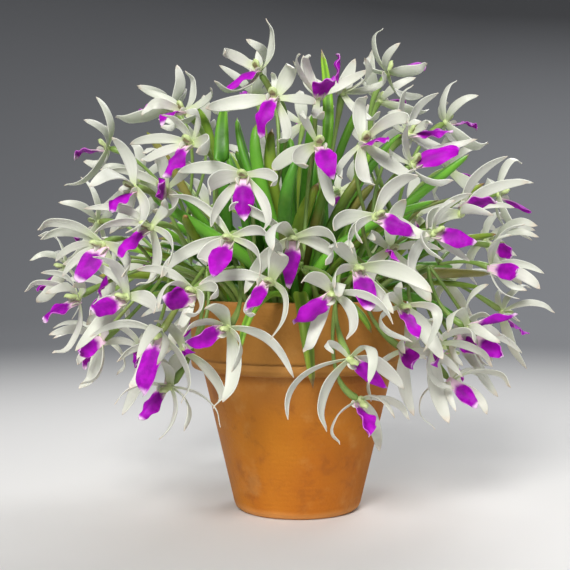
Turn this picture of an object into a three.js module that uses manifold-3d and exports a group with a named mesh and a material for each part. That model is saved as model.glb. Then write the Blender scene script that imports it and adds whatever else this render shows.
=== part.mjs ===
// A Leptotes bicolor orchid in full bloom in its clay pot. Millimetres, +Z up.
// The pot's foot stands on z = 0, its axis is the z axis and the plant's best side looks along -Y.
import * as THREE from "three";
import { mergeVertices } from "three/addons/utils/BufferGeometryUtils.js";
import Module from "manifold-3d";

const wasm = await Module();
wasm.setup();

// The pot: radii and heights of a nominal four inch clay pot
const POT = {
  height: 100,
  rim: 52,
  rimFoot: 50,
  rimDepth: 32.5,
  shoulder: 45.5,
  foot: 29.5,
  wall: 5,
  floor: 7,
  drain: 7,
  round: 1.6,
  sides: 34,
};

// Space kept between neighbours that touch on the real plant
const GAP = 0.35;

// The bark mix: its height at the wall and in the middle, and how far its chips stand out
const MEDIUM = {
  edge: 88,
  crown: 94,
  chips: 1.6,
  rings: 4,
  sides: 22,
  foot: 79,
  pit: { top: 9, floor: 4.6 },
  pitSides: 10,
  smooth: 0.05,
  waves: [0.9, 1.1, 0.7],
  shifts: [1.3, -0.4],
};

// The dome that the flowers' columns lie on. Its near side is skewed: deeper to the right.
const DOME = {
  centre: new THREE.Vector3(0, 0, 118),
  half: new THREE.Vector3(100, 92, 90),
  skew: 0.28,
};

// One flower: reach of its sepals and petals and the most that it is longer or shorter, widths,
// degrees that they turn and look forwards by, the lip and the green column
const FLOWER = {
  chord: 27,
  longer: 0.1,
  turned: 22,
  forward: 12,
  forwardMost: 44,
  sepal: 6.4,
  petal: 4.2,
  thick: 0.72,
  lip: 19,
  lipWide: 4.6,
  lipArch: 3.5,
  claw: 1.7,
  column: 5,
  columnRise: 1.4,
  columnWide: 1.9,
  ball: 2.2,
  arch: 0.36,
  archUp: 0.45,
  archBack: 0.7,
  faced: 1.6,
  droop: 3,
  lipAhead: 3,
  lipBelow: 2.65,
  pedicel: 1.1,
  stalk: 1.4,
  fork: 2,
};

// Where stalks stand: how far out they are in the middle and at the edge of the dome, where their
// fork lies between foot and blooms, how far above the pot it stays, and how much they bow
const STALK = { inner: 9, outer: 39, edge: 85, fork: 0.58, clear: 16, bow: 0.6 };

// The leafy tufts: rings of radius and number, and the leaves that a tuft draws by rule
const TUFT = {
  rings: [
    { radius: 0, count: 1, leaves: 10, length: 84, tilt: 16, fan: 360 },
    { radius: 18, count: 3, leaves: 9, length: 80, tilt: 34, fan: 170 },
    { radius: 35, count: 6, leaves: 8, length: 70, tilt: 62, fan: 120 },
  ],
  knob: 6,
  spread: 3.6,
  tries: 3,
};

// A leaf: radii of its bulb, neck and blade, how flat it is, where a seen one comes out of the dome
// and ends, and for one drawn by rule its turn and sway in degrees, its length, rise, bend and droop
const LEAF = {
  bulb: 2.8,
  neck: 1.6,
  neckAt: 0.17,
  half: 2.3,
  flat: 1.15,
  outLift: 0.8,
  tipLift: 0.9,
  turn: 16,
  sway: 34,
  longer: 0.2,
  rise: 0.36,
  bend: 0.72,
  droop: 0.14,
};

// The eye that the places below are seen from: a pixel of a 570 pixel picture is a ray from here
const EYE = new THREE.Vector3(-6, -522, 122);
const VIEW = { u: 285, v: 252, focal: 1094 };

// Blooms on the best side: their spray, column and lip tip, and the tips that show, each
// [u, v, width, u halfway, v halfway]. Lift moves a bloom in or out of the dome.
const BLOOMS = [
  { spray: 1, column: [259, 73], lip: [227, 93], tips: [[214, 51, 5], [213, 85, 5], [250, 44, 4]] },
  {
    spray: 1,
    column: [275, 99],
    lip: [256, 137],
    tips: [[293, 61, 6.5], [200, 111, 6.5], [283, 149, 4], [316, 105, 4], [266, 61, 3]],
  },
  { spray: 2, column: [318, 97], lip: [331, 80], tips: [[304, 48, 4], [300, 55, 3], [324, 115, 4]] },
  { spray: 2, column: [342, 93], lip: [340, 55], tips: [[366, 60, 4], [393, 76, 5], [381, 120, 5]] },
  {
    spray: 3,
    column: [363, 143],
    lip: [387, 138],
    tips: [[418, 125, 5, 392, 120], [374, 187, 6.5], [339, 182, 3]],
  },
  { spray: 3, column: [409, 135], lip: [452, 134], tips: [[460, 128, 4, 434, 119], [392, 112, 4]] },
  {
    spray: 3,
    column: [412, 165],
    lip: [460, 148],
    tips: [[480, 143, 4], [454, 184, 4], [394, 157, 3]],
  },
  {
    spray: 4,
    column: [461, 214],
    lip: [496, 199],
    tips: [[507, 156, 6.5], [529, 182, 5], [512, 199, 3], [493, 215, 4], [427, 228, 6.5]],
  },
  { spray: 4, column: [491, 268], lip: [521, 274], tips: [[543, 291, 5], [521, 290, 4]] },
  { spray: 4, column: [492, 246], lip: [514, 257], lift: 0.9, tips: [[538, 222, 5], [540, 236, 4]] },
  {
    spray: 5,
    column: [375, 217],
    lip: [418, 234],
    tips: [[333, 231, 5], [361, 244, 4], [352, 254, 4], [420, 172, 7]],
  },
  {
    spray: 5,
    column: [433, 233],
    lip: [477, 242],
    tips: [[412, 272, 7], [441, 262, 4], [455, 200, 5], [484, 261, 4]],
  },
  { spray: 5, column: [390, 250], lip: [399, 262], lift: 0.82, tips: [] },
  {
    spray: 6,
    column: [357, 268],
    lip: [370, 311],
    tips: [[374, 327, 5, 384, 300], [330, 247, 5], [343, 237, 4], [433, 293, 7.5], [333, 288, 5]],
  },
  {
    spray: 6,
    column: [402, 306],
    lip: [419, 338],
    tips: [[412, 346, 4, 380, 322], [424, 343, 4, 437, 312], [402, 288, 4], [384, 296, 4]],
  },
  { spray: 6, column: [404, 350], lip: [415, 367], lift: 0.85, tips: [] },
  {
    spray: 7,
    column: [468, 328],
    lip: [519, 316],
    tips: [[532, 327, 5], [442, 329, 5, 458, 311], [500, 345, 4]],
  },
  { spray: 7, column: [458, 338], lip: [478, 352], lift: 0.9, tips: [[460, 368, 4], [483, 374, 4]] },
  { spray: 7, column: [478, 338], lip: [506, 357], lift: 0.97, tips: [[491, 371, 4], [514, 341, 4]] },
  {
    spray: 8,
    column: [451, 382],
    lip: [478, 407],
    tips: [[519, 384, 5], [491, 419, 4], [456, 412, 4], [428, 438, 4, 422, 398]],
  },
  { spray: 8, column: [436, 345], lip: [437, 366], lift: 0.94, tips: [[446, 400, 4, 430, 372]] },
  {
    spray: 9,
    column: [350, 359],
    lip: [388, 388],
    tips: [[287, 421, 5, 299, 379], [322, 436, 6], [372, 385, 4, 370, 348], [322, 350, 3]],
  },
  {
    spray: 9,
    column: [361, 400],
    lip: [371, 436],
    lift: 0.95,
    tips: [[379, 443, 4, 387, 418], [418, 415, 4], [330, 449, 4], [403, 422, 4]],
  },
  {
    spray: 10,
    column: [228, 328],
    lip: [186, 345],
    tips: [[203, 306, 6.5], [180, 335, 4], [296, 378, 5, 266, 338], [232, 373, 5], [224, 406, 6.5]],
  },
  {
    spray: 10,
    column: [194, 291],
    lip: [172, 308],
    lift: 0.96,
    tips: [[158, 309, 4, 168, 284], [174, 322, 4], [218, 302, 4], [189, 325, 6.5]],
  },
  {
    spray: 11,
    column: [333, 293],
    lip: [294, 328],
    tips: [[298, 281, 6.5], [306, 363, 5], [349, 344, 6.5]],
  },
  {
    spray: 11,
    column: [271, 282],
    lip: [240, 296],
    tips: [[197, 285, 4], [281, 255, 6.5], [271, 341, 4, 286, 304], [247, 324, 4]],
  },
  {
    spray: 12,
    column: [293, 238],
    lip: [289, 291],
    tips: [[227, 211, 5, 248, 209], [266, 258, 6.5], [339, 265, 6.5], [340, 248, 4]],
  },
  {
    spray: 12,
    column: [318, 145],
    lip: [332, 178],
    tips: [[272, 173, 5], [306, 172, 6.5], [298, 109, 3], [346, 150, 4, 332, 130], [334, 211, 5]],
  },
  {
    spray: 13,
    column: [230, 238],
    lip: [213, 277],
    tips: [[168, 192, 4], [152, 279, 5], [197, 270, 6.5], [271, 241, 4], [259, 276, 4]],
  },
  {
    spray: 13,
    column: [244, 176],
    lip: [244, 221],
    tips: [[174, 173, 5], [204, 196, 6.5], [278, 190, 4], [211, 227, 4], [265, 234, 4]],
  },
  {
    spray: 14,
    column: [192, 144],
    lip: [163, 177],
    tips: [[162, 115, 4], [201, 155, 6.5], [192, 110, 4], [128, 146, 4], [141, 157, 4]],
  },
  { spray: 14, column: [185, 113], lip: [160, 122], lift: 0.92, tips: [[135, 109, 5, 154, 99]] },
  { spray: 15, column: [134, 188], lip: [109, 205], tips: [[92, 185, 5], [105, 174, 4]] },
  {
    spray: 15,
    column: [151, 227],
    lip: [112, 250],
    tips: [[82, 209, 4], [93, 232, 4], [144, 296, 6.5], [164, 204, 5], [167, 265, 4]],
  },
  { spray: 15, column: [166, 190], lip: [147, 192], lift: 0.82, tips: [] },
  {
    spray: 16,
    column: [103, 244],
    lip: [87, 277],
    tips: [[29, 227, 4], [36, 238, 4], [62, 277, 4], [53, 264, 3], [126, 281, 6.5]],
  },
  {
    spray: 16,
    column: [78, 297],
    lip: [41, 317],
    tips: [[19, 288, 4], [47, 294, 4], [53, 363, 4], [73, 287, 4]],
  },
  { spray: 16, column: [112, 268], lip: [100, 284], lift: 0.85, tips: [] },
  { spray: 17, column: [127, 297], lip: [90, 311], tips: [[86, 318, 4], [157, 314, 6.5]] },
  { spray: 17, column: [100, 342], lip: [73, 353], tips: [[82, 391, 4], [64, 362, 4]] },
  { spray: 17, column: [143, 350], lip: [131, 364], lift: 0.88, tips: [] },
  {
    spray: 18,
    column: [160, 334],
    lip: [142, 396],
    tips: [[188, 408, 5], [159, 366, 4], [136, 358, 5]],
  },
  {
    spray: 18,
    column: [170, 387],
    lip: [135, 413],
    tips: [[111, 404, 4], [186, 433, 4], [225, 428, 4], [158, 440, 6.5]],
  },
  { spray: 18, column: [184, 352], lip: [168, 366], lift: 0.9, tips: [] },
];

// The far side's blooms lie on a golden angle spiral over the other half of the dome, offset so
// that the whole plant is centred over its pot
const FAR = {
  count: 32,
  top: 0.93,
  bottom: -0.5,
  turn: 0.6180339887,
  lift: 1.09,
  vary: 0.05,
  offset: new THREE.Vector3(-2.5, 1.5, 0),
  spray: 19,
  sectors: 3,
  tier: 0.25,
};

// Leaves that show between the blooms: tip, where they come out, and width
const LEAVES = [
  { tip: [321, 50], out: [342, 143], wide: 4.4 },
  { tip: [147, 132], out: [170, 158], wide: 4.2 },
  { tip: [188, 104], out: [215, 108], wide: 4.6 },
  { tip: [225, 103], out: [216, 159], wide: 5 },
  { tip: [257, 124], out: [246, 166], wide: 4.4 },
  { tip: [298, 159], out: [272, 216], wide: 6 },
  { tip: [320, 180], out: [290, 228], wide: 5 },
  { tip: [345, 200], out: [304, 231], wide: 5.5 },
  { tip: [439, 200], out: [345, 221], wide: 5.5 },
  { tip: [500, 275], out: [412, 268], wide: 6.4 },
  { tip: [470, 329], out: [425, 294], wide: 5 },
  { tip: [148, 193], out: [200, 232], wide: 5.6 },
  { tip: [172, 188], out: [212, 224], wide: 5 },
  { tip: [155, 279], out: [207, 270], wide: 4.6 },
  { tip: [469, 154], out: [425, 188], wide: 5 },
  { tip: [364, 102], out: [346, 120], wide: 4.6 },
  { tip: [405, 131], out: [384, 142], wide: 4.6 },
  { tip: [279, 336], out: [272, 292], wide: 4.2 },
  { tip: [210, 364], out: [214, 302], wide: 4 },
  { tip: [241, 350], out: [246, 292], wide: 4.2 },
  { tip: [313, 388], out: [302, 290], wide: 4.6 },
  { tip: [342, 348], out: [326, 298], wide: 4.2 },
  { tip: [377, 350], out: [362, 300], wide: 4.6 },
  { tip: [409, 338], out: [392, 300], wide: 4.2 },
  { tip: [236, 114], out: [238, 160], wide: 4.4 },
  { tip: [272, 127], out: [262, 175], wide: 4.6 },
  { tip: [335, 159], out: [322, 200], wide: 4.6 },
  { tip: [371, 166], out: [348, 185], wide: 4.8 },
  { tip: [358, 256], out: [344, 240], wide: 5 },
  { tip: [427, 200], out: [400, 214], wide: 4.6 },
  { tip: [387, 288], out: [377, 244], wide: 4.4 },
  { tip: [193, 206], out: [179, 224], wide: 4.2 },
];

// How many of the first blooms have a lip that is a piece of its own
const LIPS = 23;

// Steps by which a blade is bent or drawn in until it is clear of the other pieces
const BENDS = [0, 2, -2, 4, -4, 6, -6, 8.5, -8.5, 11, -11, 14, -14];
const REACHES = [1, 0.84, 0.68, 0.52];
const SLIMS = [1, 0.72];
const RISES = [0, -4, 4];
const NEARS = [0.58, 0.66, 0.74, 0.82, 0.9, 1];
const SWINGS = [0, 7, -7, 14, -14, 21, -21, 28, -28, 36, -36];
const LEANS = [0, -14, 14];

const COLOURS = {
  clay: 0xb9692f,
  bark: 0x2e2118,
  leaf: 0x4f9a2c,
  petal: 0xe2e5d8,
  lip: 0xb400c4,
};

const UP = new THREE.Vector3(0, 0, 1);
const rad = THREE.MathUtils.degToRad;
const lerp = THREE.MathUtils.lerp;

// A seeded row of draws between 0 and 1
function draws(seed) {
  let state = (seed * 7919 + 12345) % 4294967296;
  return () => {
    state = (1664525 * state + 1013904223) % 4294967296;
    return state / 4294967296;
  };
}

function mix(a, b, t) {
  return a.clone().lerp(b, t);
}

function moved(a, direction, length) {
  return a.clone().addScaledVector(direction, length);
}

// The part of a direction that is square to an axis
function squareTo(direction, axis) {
  const along = axis.clone().normalize();
  return direction.clone().addScaledVector(along, -direction.dot(along)).normalize();
}

// The point at a distance in front of the eye that a pixel shows
function onRay([u, v], distance) {
  const scale = distance / VIEW.focal;
  return new THREE.Vector3(
    EYE.x + (u - VIEW.u) * scale,
    EYE.y + distance,
    EYE.z - (v - VIEW.v) * scale,
  );
}

// The point of the dome's near side that a pixel shows, or just in front of its edge
function onDome(pixel, lift) {
  const half = DOME.half.clone().multiplyScalar(lift);
  let point = onRay(pixel, -EYE.y - half.y);
  for (let pass = 0; pass < 8; pass++) {
    const from = point.clone().sub(DOME.centre).divide(half);
    const left = Math.max(0.03, 1 - from.x * from.x - from.z * from.z);
    point = onRay(pixel, -EYE.y - half.y * Math.sqrt(left));
  }
  return onRay(pixel, point.y - EYE.y + DOME.skew * point.x);
}

function outOfDome(point) {
  return point.clone().sub(DOME.centre).divide(DOME.half).divide(DOME.half).normalize();
}

// A pixel's point when what reaches it from a start is longer than it looks: nearer to the eye
function reached(pixel, start, length) {
  const distance = start.y - EYE.y;
  const seen = onRay(pixel, distance).distanceTo(start);
  return onRay(pixel, distance - Math.sqrt(Math.max(0, length * length - seen * seen)));
}

// A solid from a closed three.js geometry
function solid(geometry) {
  const bare = geometry.clone();
  bare.deleteAttribute("normal");
  bare.deleteAttribute("uv");
  const merged = mergeVertices(bare);
  return solidOfMerged(merged);
}

function solidOfMerged(merged) {
  return new wasm.Manifold(
    new wasm.Mesh({
      numProp: 3,
      vertProperties: new Float32Array(merged.attributes.position.array),
      triVerts: new Uint32Array(merged.index.array),
    }),
  );
}

// A limb is a curve, the way its keel looks, its steps, its half sizes along the way as wide and
// deep, and its end: a point, a flat end or the face of another ball. Its sections are triangles.
function section({ curve, keel, wide, deep }, t, swell) {
  const tangent = curve.getTangent(t);
  const back = squareTo(keel, tangent);
  const side = new THREE.Vector3().crossVectors(tangent, back);
  const middle = moved(curve.getPoint(t), tangent, swell * (2 * t - 1));
  return [0, 120, 240].map((angle) => {
    const spot = moved(middle, back, Math.cos(rad(angle)) * (deep(t) + swell));
    return spot.addScaledVector(side, Math.sin(rad(angle)) * (wide(t) + swell));
  });
}

// A limb by itself as a closed solid, as it is or swollen where room for it is looked for. Seats
// are the faces of the balls that it starts and ends on.
function limbSolid(limb, swell = 0, seats = []) {
  const growth = new Growth();
  const ring = (corners) => corners.map((spot) => growth.point(spot));
  const seatRing = ({ corners, middle }) =>
    ring(corners.map((spot) => moved(spot, spot.clone().sub(middle).normalize(), swell)));
  const first = seats.length ? seatRing(seats[0]) : ring(section(limb, 0, swell));
  growth.faces.push([first[0], first[2], first[1]]);
  const last = seats.length > 1 ? seatRing(seats[1]) : limb.end;
  growth.limb(first, limb, swell, last);
  if (Array.isArray(last)) growth.faces.push([last[0], last[2], last[1]]);
  return growth.solid();
}

// One closed surface: faceted balls whose faces are drawn out into limbs
class Growth {
  points = [];
  faces = [];

  // A ball whose faces are each free to carry a limb
  ball(centre, radius, detail) {
    const geometry = new THREE.IcosahedronGeometry(radius, detail);
    geometry.deleteAttribute("normal");
    geometry.deleteAttribute("uv");
    const { index, attributes } = mergeVertices(geometry);
    const spots = Array.from({ length: attributes.position.count }, (_, i) =>
      new THREE.Vector3().fromBufferAttribute(attributes.position, i).add(centre),
    );
    const numbers = spots.map((spot) => this.point(spot));
    const free = [];
    for (let i = 0; i < index.count; i += 3) {
      const three = [0, 1, 2].map((k) => index.getX(i + k));
      const corners = three.map((k) => spots[k]);
      const face = three.map((k) => numbers[k]);
      const middle = mix(mix(corners[0], corners[1], 0.5), corners[2], 1 / 3);
      this.faces.push(face);
      free.push({ face, corners, middle, way: middle.clone().sub(centre).normalize() });
    }
    return { centre, free, growth: this };
  }

  point(spot) {
    return this.points.push(spot) - 1;
  }

  // Joins a ring of three corners to the next one, turned to lie closest to it. Of the two ways to
  // split each side into triangles, the one that bulges outwards is taken.
  bridge(ring, next) {
    const off = (turn) =>
      ring.reduce((sum, corner, i) => {
        const other = this.points[next[(i + turn) % 3]];
        return sum + this.points[corner].distanceToSquared(other);
      }, 0);
    const turn = [0, 1, 2].reduce((a, b) => (off(b) < off(a) ? b : a));
    const turned = ring.map((_, i) => next[(i + turn) % 3]);
    ring.forEach((corner, i) => {
      const j = (i + 1) % 3;
      const [a, b, c, d] = [corner, ring[j], turned[j], turned[i]];
      if (this.bulges(a, b, c, d)) this.faces.push([a, b, c], [a, c, d]);
      else this.faces.push([a, b, d], [b, c, d]);
    });
    return turned;
  }

  bulges(...four) {
    const [a, b, c, d] = four.map((corner) => this.points[corner]);
    const normal = b.clone().sub(a).cross(c.clone().sub(a));
    return normal.dot(d.clone().sub(a)) < 0;
  }

  // Draws a ring of corners out along a limb's curve to a point, a flat end or another ring
  limb(ring, limb, swell, end) {
    const { steps, curve } = limb;
    const rings = end === "flat" ? steps : steps - 1;
    let last = ring;
    for (let k = 1; k <= rings; k++) {
      const next = section(limb, k / steps, swell).map((spot) => this.point(spot));
      last = this.bridge(last, next);
    }
    if (end === "flat") this.faces.push(last);
    if (Array.isArray(end)) this.bridge(last, [end[0], end[2], end[1]]);
    if (end !== "point") return;
    const tip = this.point(moved(curve.getPoint(1), curve.getTangent(1), swell));
    last.forEach((corner, i) => this.faces.push([corner, last[(i + 1) % 3], tip]));
  }

  solid() {
    return new wasm.Manifold(
      new wasm.Mesh({
        numProp: 3,
        vertProperties: new Float32Array(this.points.flatMap((spot) => spot.toArray())),
        triVerts: new Uint32Array(this.faces.flat()),
      }),
    );
  }
}

// Every piece placed so far: its solid, its box and the balls that it grows from
const placed = [];
const TOUCH = 0.00001;
const SEATS = [0, 1, 2];

function keep(exact, balls) {
  placed.push({ exact, balls, box: exact.boundingBox() });
}

function apart(a, b) {
  return [0, 1, 2].some((k) => a.min[k] > b.max[k] || b.min[k] > a.max[k]);
}

// A ball's free face that looks best towards a point, or the next best ones
function seatOf(ball, point, rank) {
  const way = point.clone().sub(ball.centre).normalize();
  const sorted = [...ball.free].sort((a, b) => b.way.dot(way) - a.way.dot(way));
  return sorted[rank];
}

// The piece that stands in a limb's way. Limbs of one ball may only touch at it, and all others
// are clear of each other. The piece found last is looked at first.
let lastFound = null;
function inTheWay(limb, exact, balls, seats) {
  const swollen = limbSolid(limb, GAP, seats);
  const box = swollen.boundingBox();
  const blocks = (other) => {
    if (!other || apart(box, other.box)) return false;
    const joined = other.balls.some((ball) => balls.includes(ball));
    if (!joined && meet(swollen, other.exact) > 0) return true;
    return meet(exact, other.exact) > (joined ? TOUCH : 0);
  };
  lastFound = blocks(lastFound) ? lastFound : placed.find(blocks);
  swollen.delete();
  return lastFound;
}

// The volume that two solids share
function meet(a, b) {
  const shared = a.intersect(b);
  const volume = shared.volume();
  shared.delete();
  return volume;
}

// Seats a limb on the balls that it joins, in the first of its turns that is clear
function settle(balls, turns, make) {
  for (const rank of balls.length ? SEATS : [0]) {
    for (const turn of turns) {
      const limb = make(turn);
      const { curve } = limb;
      const seats = balls.map((ball, k) => seatOf(ball, curve.getPoint(k ? 0.88 : 0.12), rank));
      const exact = limbSolid(limb, 0, seats);
      if (inTheWay(limb, exact, balls, seats)) {
        exact.delete();
        continue;
      }
      balls.forEach((ball, k) => ball.free.splice(ball.free.indexOf(seats[k]), 1));
      if (balls.length) attach(balls[0].growth, limb, seats);
      keep(exact, balls);
      return { ...limb, seats };
    }
  }
  return null;
}

// Takes a limb's seats off the surface and draws the limb out between them
function attach(growth, limb, seats) {
  for (const { face } of seats) growth.faces.splice(growth.faces.indexOf(face), 1);
  growth.limb(seats[0].face, limb, 0, seats.length > 1 ? seats[1].face : limb.end);
}

const TURNS = REACHES.flatMap((reach) =>
  RISES.flatMap((rise) => BENDS.map((bend) => ({ reach, rise, bend }))),
);
const LIP_TURNS = TURNS.flatMap((turn) => NEARS.map((near) => ({ ...turn, near })));
const COLUMN_TURNS = SWINGS.map((swing) => ({ swing }));
const PEDICEL_TURNS = BENDS.flatMap((bend) =>
  RISES.flatMap((rise) => SWINGS.map((swing) => ({ bend, rise, swing }))),
);
const LEAF_TURNS = REACHES.flatMap((reach) =>
  SLIMS.flatMap((slim) => LEANS.flatMap((lean) => SWINGS.map((swing) => ({ reach, slim, lean, swing })))),
);
const STALK_TURNS = [0, -5, 5, -9].flatMap((step) => SWINGS.map((swing) => ({ swing, step })));

// The turned clay pot as a profile that goes up the outside and down the inside
function potSolid() {
  const { height, rim, rimFoot, rimDepth, shoulder, foot, wall, floor, drain, round } = POT;
  const band = height - rimDepth;
  const points = [
    [drain, 0],
    [foot - round, 0],
    [foot, round],
    [shoulder, band],
    [rimFoot - round / 2, band],
    [rimFoot, band + round / 2],
    [rim, height - round],
    [rim - round, height],
    [rim - wall + round, height],
    [rim - wall, height - round],
    [potInside(band), band],
    [potInside(floor), floor],
    [drain, floor],
    [drain, 0],
  ].map(([r, z]) => new THREE.Vector2(r, z));
  return solid(new THREE.LatheGeometry(points, POT.sides).rotateX(Math.PI / 2));
}

// The inside radius of the pot at a height
function potInside(z) {
  const { height, rim, rimDepth, shoulder, foot, wall, round } = POT;
  const band = height - rimDepth;
  const low = lerp(foot, shoulder, z / band) - wall;
  const high = THREE.MathUtils.mapLinear(z, band, height - round, shoulder - wall, rim - wall);
  return z <= band ? low : high;
}

// The bark mix: a plug whose top is raised in chips by a formula
function mediumSolid() {
  const { edge, crown, chips, rings, sides, waves, shifts } = MEDIUM;
  const band = POT.height - POT.rimDepth;
  const low = POT.floor + GAP;
  const wall = potInside(edge) - GAP;
  const profile = [
    [0, low],
    [potInside(low) - GAP, low],
    [potInside(band) - GAP, band],
    [wall, edge],
  ];
  for (let ring = rings - 1; ring >= 0; ring--) profile.push([(wall * ring) / rings, edge]);
  const points = profile.map(([r, z]) => new THREE.Vector2(r, z));
  const lathe = new THREE.LatheGeometry(points, sides).rotateX(Math.PI / 2);
  const spots = lathe.attributes.position;
  for (let i = 0; i < spots.count; i++) {
    if (spots.getZ(i) < edge - GAP) continue;
    const [x, y] = [spots.getX(i), spots.getY(i)];
    const share = Math.min(1, Math.hypot(x, y) / wall);
    const bumps = Math.sin(x * waves[0] + shifts[0]) * Math.cos(y * waves[1] + shifts[1]);
    const rough = bumps + Math.sin((x - y) * waves[2]);
    const raised = (crown - edge) * (1 - share * share) + chips * rough * (1 - share ** 6) * 0.5;
    spots.setZ(i, edge + raised);
  }
  return solid(lathe);
}

// Sepals and petals around a flower's axis, from its up: the back sepal, two petals, two sepals
const SPREAD = [
  { angle: 90, wide: FLOWER.sepal },
  { angle: 26, wide: FLOWER.petal },
  { angle: 154, wide: FLOWER.petal },
  { angle: -48, wide: FLOWER.sepal },
  { angle: 228, wide: FLOWER.sepal },
];

// A bloom's centre, the way it faces, its up, and the ends of its lip and five tepals
function bloomPlace(row, index) {
  const draw = draws(index + 1);
  const centre = row.place ? row.place.clone() : onDome(row.column, row.lift ?? 1);
  const out = outOfDome(centre);
  const down = moved(moved(out, UP, -0.75), squareTo(UP, out), (draw() - 0.5) * 0.3).normalize();
  const lipEnd = row.lip
    ? reached(row.lip, centre, FLOWER.lip)
    : moved(centre, down, FLOWER.lip);
  const lipWay = lipEnd.clone().sub(centre).normalize();
  const facing = moved(out, lipWay, 0.5).normalize();
  const up = squareTo(moved(UP, lipWay, -0.8), facing);
  const side = new THREE.Vector3().crossVectors(up, facing);
  const ends = SPREAD.map(({ angle, wide }) => {
    const around = rad(angle + (draw() - 0.5) * FLOWER.turned);
    const forward = rad(lerp(FLOWER.forward, FLOWER.forwardMost, draw()));
    const way = side.clone().multiplyScalar(Math.cos(around));
    way.addScaledVector(up, Math.sin(around)).multiplyScalar(Math.cos(forward));
    way.addScaledVector(facing, Math.sin(forward));
    const length = FLOWER.chord * lerp(1 - FLOWER.longer, 1 + FLOWER.longer, draw());
    const tip = moved(moved(centre, way, length), UP, -FLOWER.droop);
    return { tip, wide: wide * (0.92 + draw() * 0.16) };
  });
  for (const [u, v, wide, ...half] of row.tips ?? []) {
    const tip = reached([u, v], centre, FLOWER.chord);
    const way = tip.clone().sub(centre).normalize();
    const towards = (end) => end.tip.clone().sub(centre).normalize().dot(way);
    const free = ends.filter((end) => !end.seen);
    const best = free.reduce((a, b) => (towards(b) > towards(a) ? b : a));
    const seenHalf = half.length ? onRay(half, (tip.y + centre.y) / 2 - EYE.y) : null;
    Object.assign(best, { tip, wide, half: seenHalf, seen: true });
  }
  return { centre, facing, up, lipEnd, lipWay, ends };
}

const tepalShape = (t) => Math.sin(Math.PI * (0.12 + 0.88 * t ** 0.8));
const lipLobe = (t) => Math.sin(Math.PI * THREE.MathUtils.clamp((t - 0.2) / 0.65, 0, 1));

// A sepal or petal: it spreads back and up, then arches forward to its tip
function tepal({ centre, facing, up }, end, { reach, rise, bend }) {
  const toEye = end.seen ? EYE.clone().sub(end.tip).normalize() : facing;
  const tip = moved(moved(mix(centre, end.tip, reach), toEye, bend), up, rise);
  const chord = tip.clone().sub(centre);
  const middle = mix(centre, tip, 0.5);
  const { archUp, archBack } = FLOWER;
  const arch = squareTo(moved(UP.clone().multiplyScalar(archUp), facing, -archBack), chord);
  const bowed = end.half
    ? moved(end.half.clone().multiplyScalar(2).sub(middle), toEye, bend * 0.5)
    : moved(middle, arch, chord.length() * FLOWER.arch);
  const guide = mix(middle, bowed, reach);
  return {
    curve: new THREE.QuadraticBezierCurve3(centre, guide, tip),
    keel: moved(squareTo(guide.clone().sub(middle), chord), facing, -FLOWER.faced),
    steps: 3,
    wide: (t) => (end.wide / Math.sqrt(3)) * tepalShape(t),
    deep: (t) => FLOWER.thick * (1 - 0.35 * t),
    end: "point",
  };
}

// The lip comes forward from in front of the column and hangs to its pointed tip
function lip({ centre, facing, lipWay, lipEnd }, { reach, rise, bend, near = 1 }) {
  const below = squareTo(lipWay, facing);
  const start = moved(centre, facing, FLOWER.lipAhead * near);
  const root = moved(start, below, FLOWER.lipBelow * near);
  const across = new THREE.Vector3().crossVectors(facing, below);
  const tip = moved(moved(mix(root, lipEnd, reach), across, bend * 0.6), facing, rise);
  return {
    curve: new THREE.QuadraticBezierCurve3(root, moved(mix(root, tip, 0.4), facing, FLOWER.lipArch), tip),
    keel: facing.clone().negate(),
    steps: 5,
    wide: (t) => FLOWER.claw * (1 - t) + FLOWER.lipWide * lipLobe(t),
    deep: (t) => FLOWER.thick * (1.1 - 0.5 * t),
    end: "point",
  };
}

// The short thick column that looks out between the petals
function column({ centre, facing, up }, { swing }) {
  const across = new THREE.Vector3().crossVectors(up, facing);
  const tip = moved(moved(centre, facing, FLOWER.column), up, FLOWER.columnRise);
  tip.addScaledVector(across, swing * 0.06);
  return {
    curve: new THREE.QuadraticBezierCurve3(centre, mix(centre, tip, 0.5), tip),
    keel: up,
    steps: 2,
    wide: () => FLOWER.columnWide,
    deep: () => FLOWER.columnWide,
    end: "point",
  };
}

// Where a spray's stalk stands, worked out from the middle of its blooms
function sprayPlace(blooms) {
  const middle = new THREE.Vector3();
  for (const bloom of blooms) middle.addScaledVector(bloom.centre, 1 / blooms.length);
  const azimuth = Math.atan2(middle.y, middle.x);
  const share = Math.min(1, Math.hypot(middle.x, middle.y) / STALK.edge);
  return { middle, azimuth, radius: lerp(STALK.inner, STALK.outer, share) };
}

function footOf({ azimuth, radius }, { swing = 0, step = 0 }) {
  const [around, off] = [azimuth + rad(swing), radius + step];
  return new THREE.Vector3(Math.cos(around) * off, Math.sin(around) * off, MEDIUM.foot);
}

function forkOf(place) {
  const fork = mix(footOf(place, {}), place.middle, STALK.fork);
  fork.z = Math.max(fork.z, POT.height + STALK.clear);
  return fork;
}

// A spray's stalk, from its fork down to its foot in the bark
function stalk(place, fork, turn) {
  const foot = footOf(place, turn);
  const guide = moved(foot, UP, STALK.bow * foot.distanceTo(fork));
  return {
    curve: new THREE.QuadraticBezierCurve3(fork, guide, foot),
    keel: new THREE.Vector3(foot.x, foot.y, POT.rim),
    steps: 4,
    wide: () => FLOWER.stalk,
    deep: () => FLOWER.stalk,
    end: "flat",
  };
}

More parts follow.
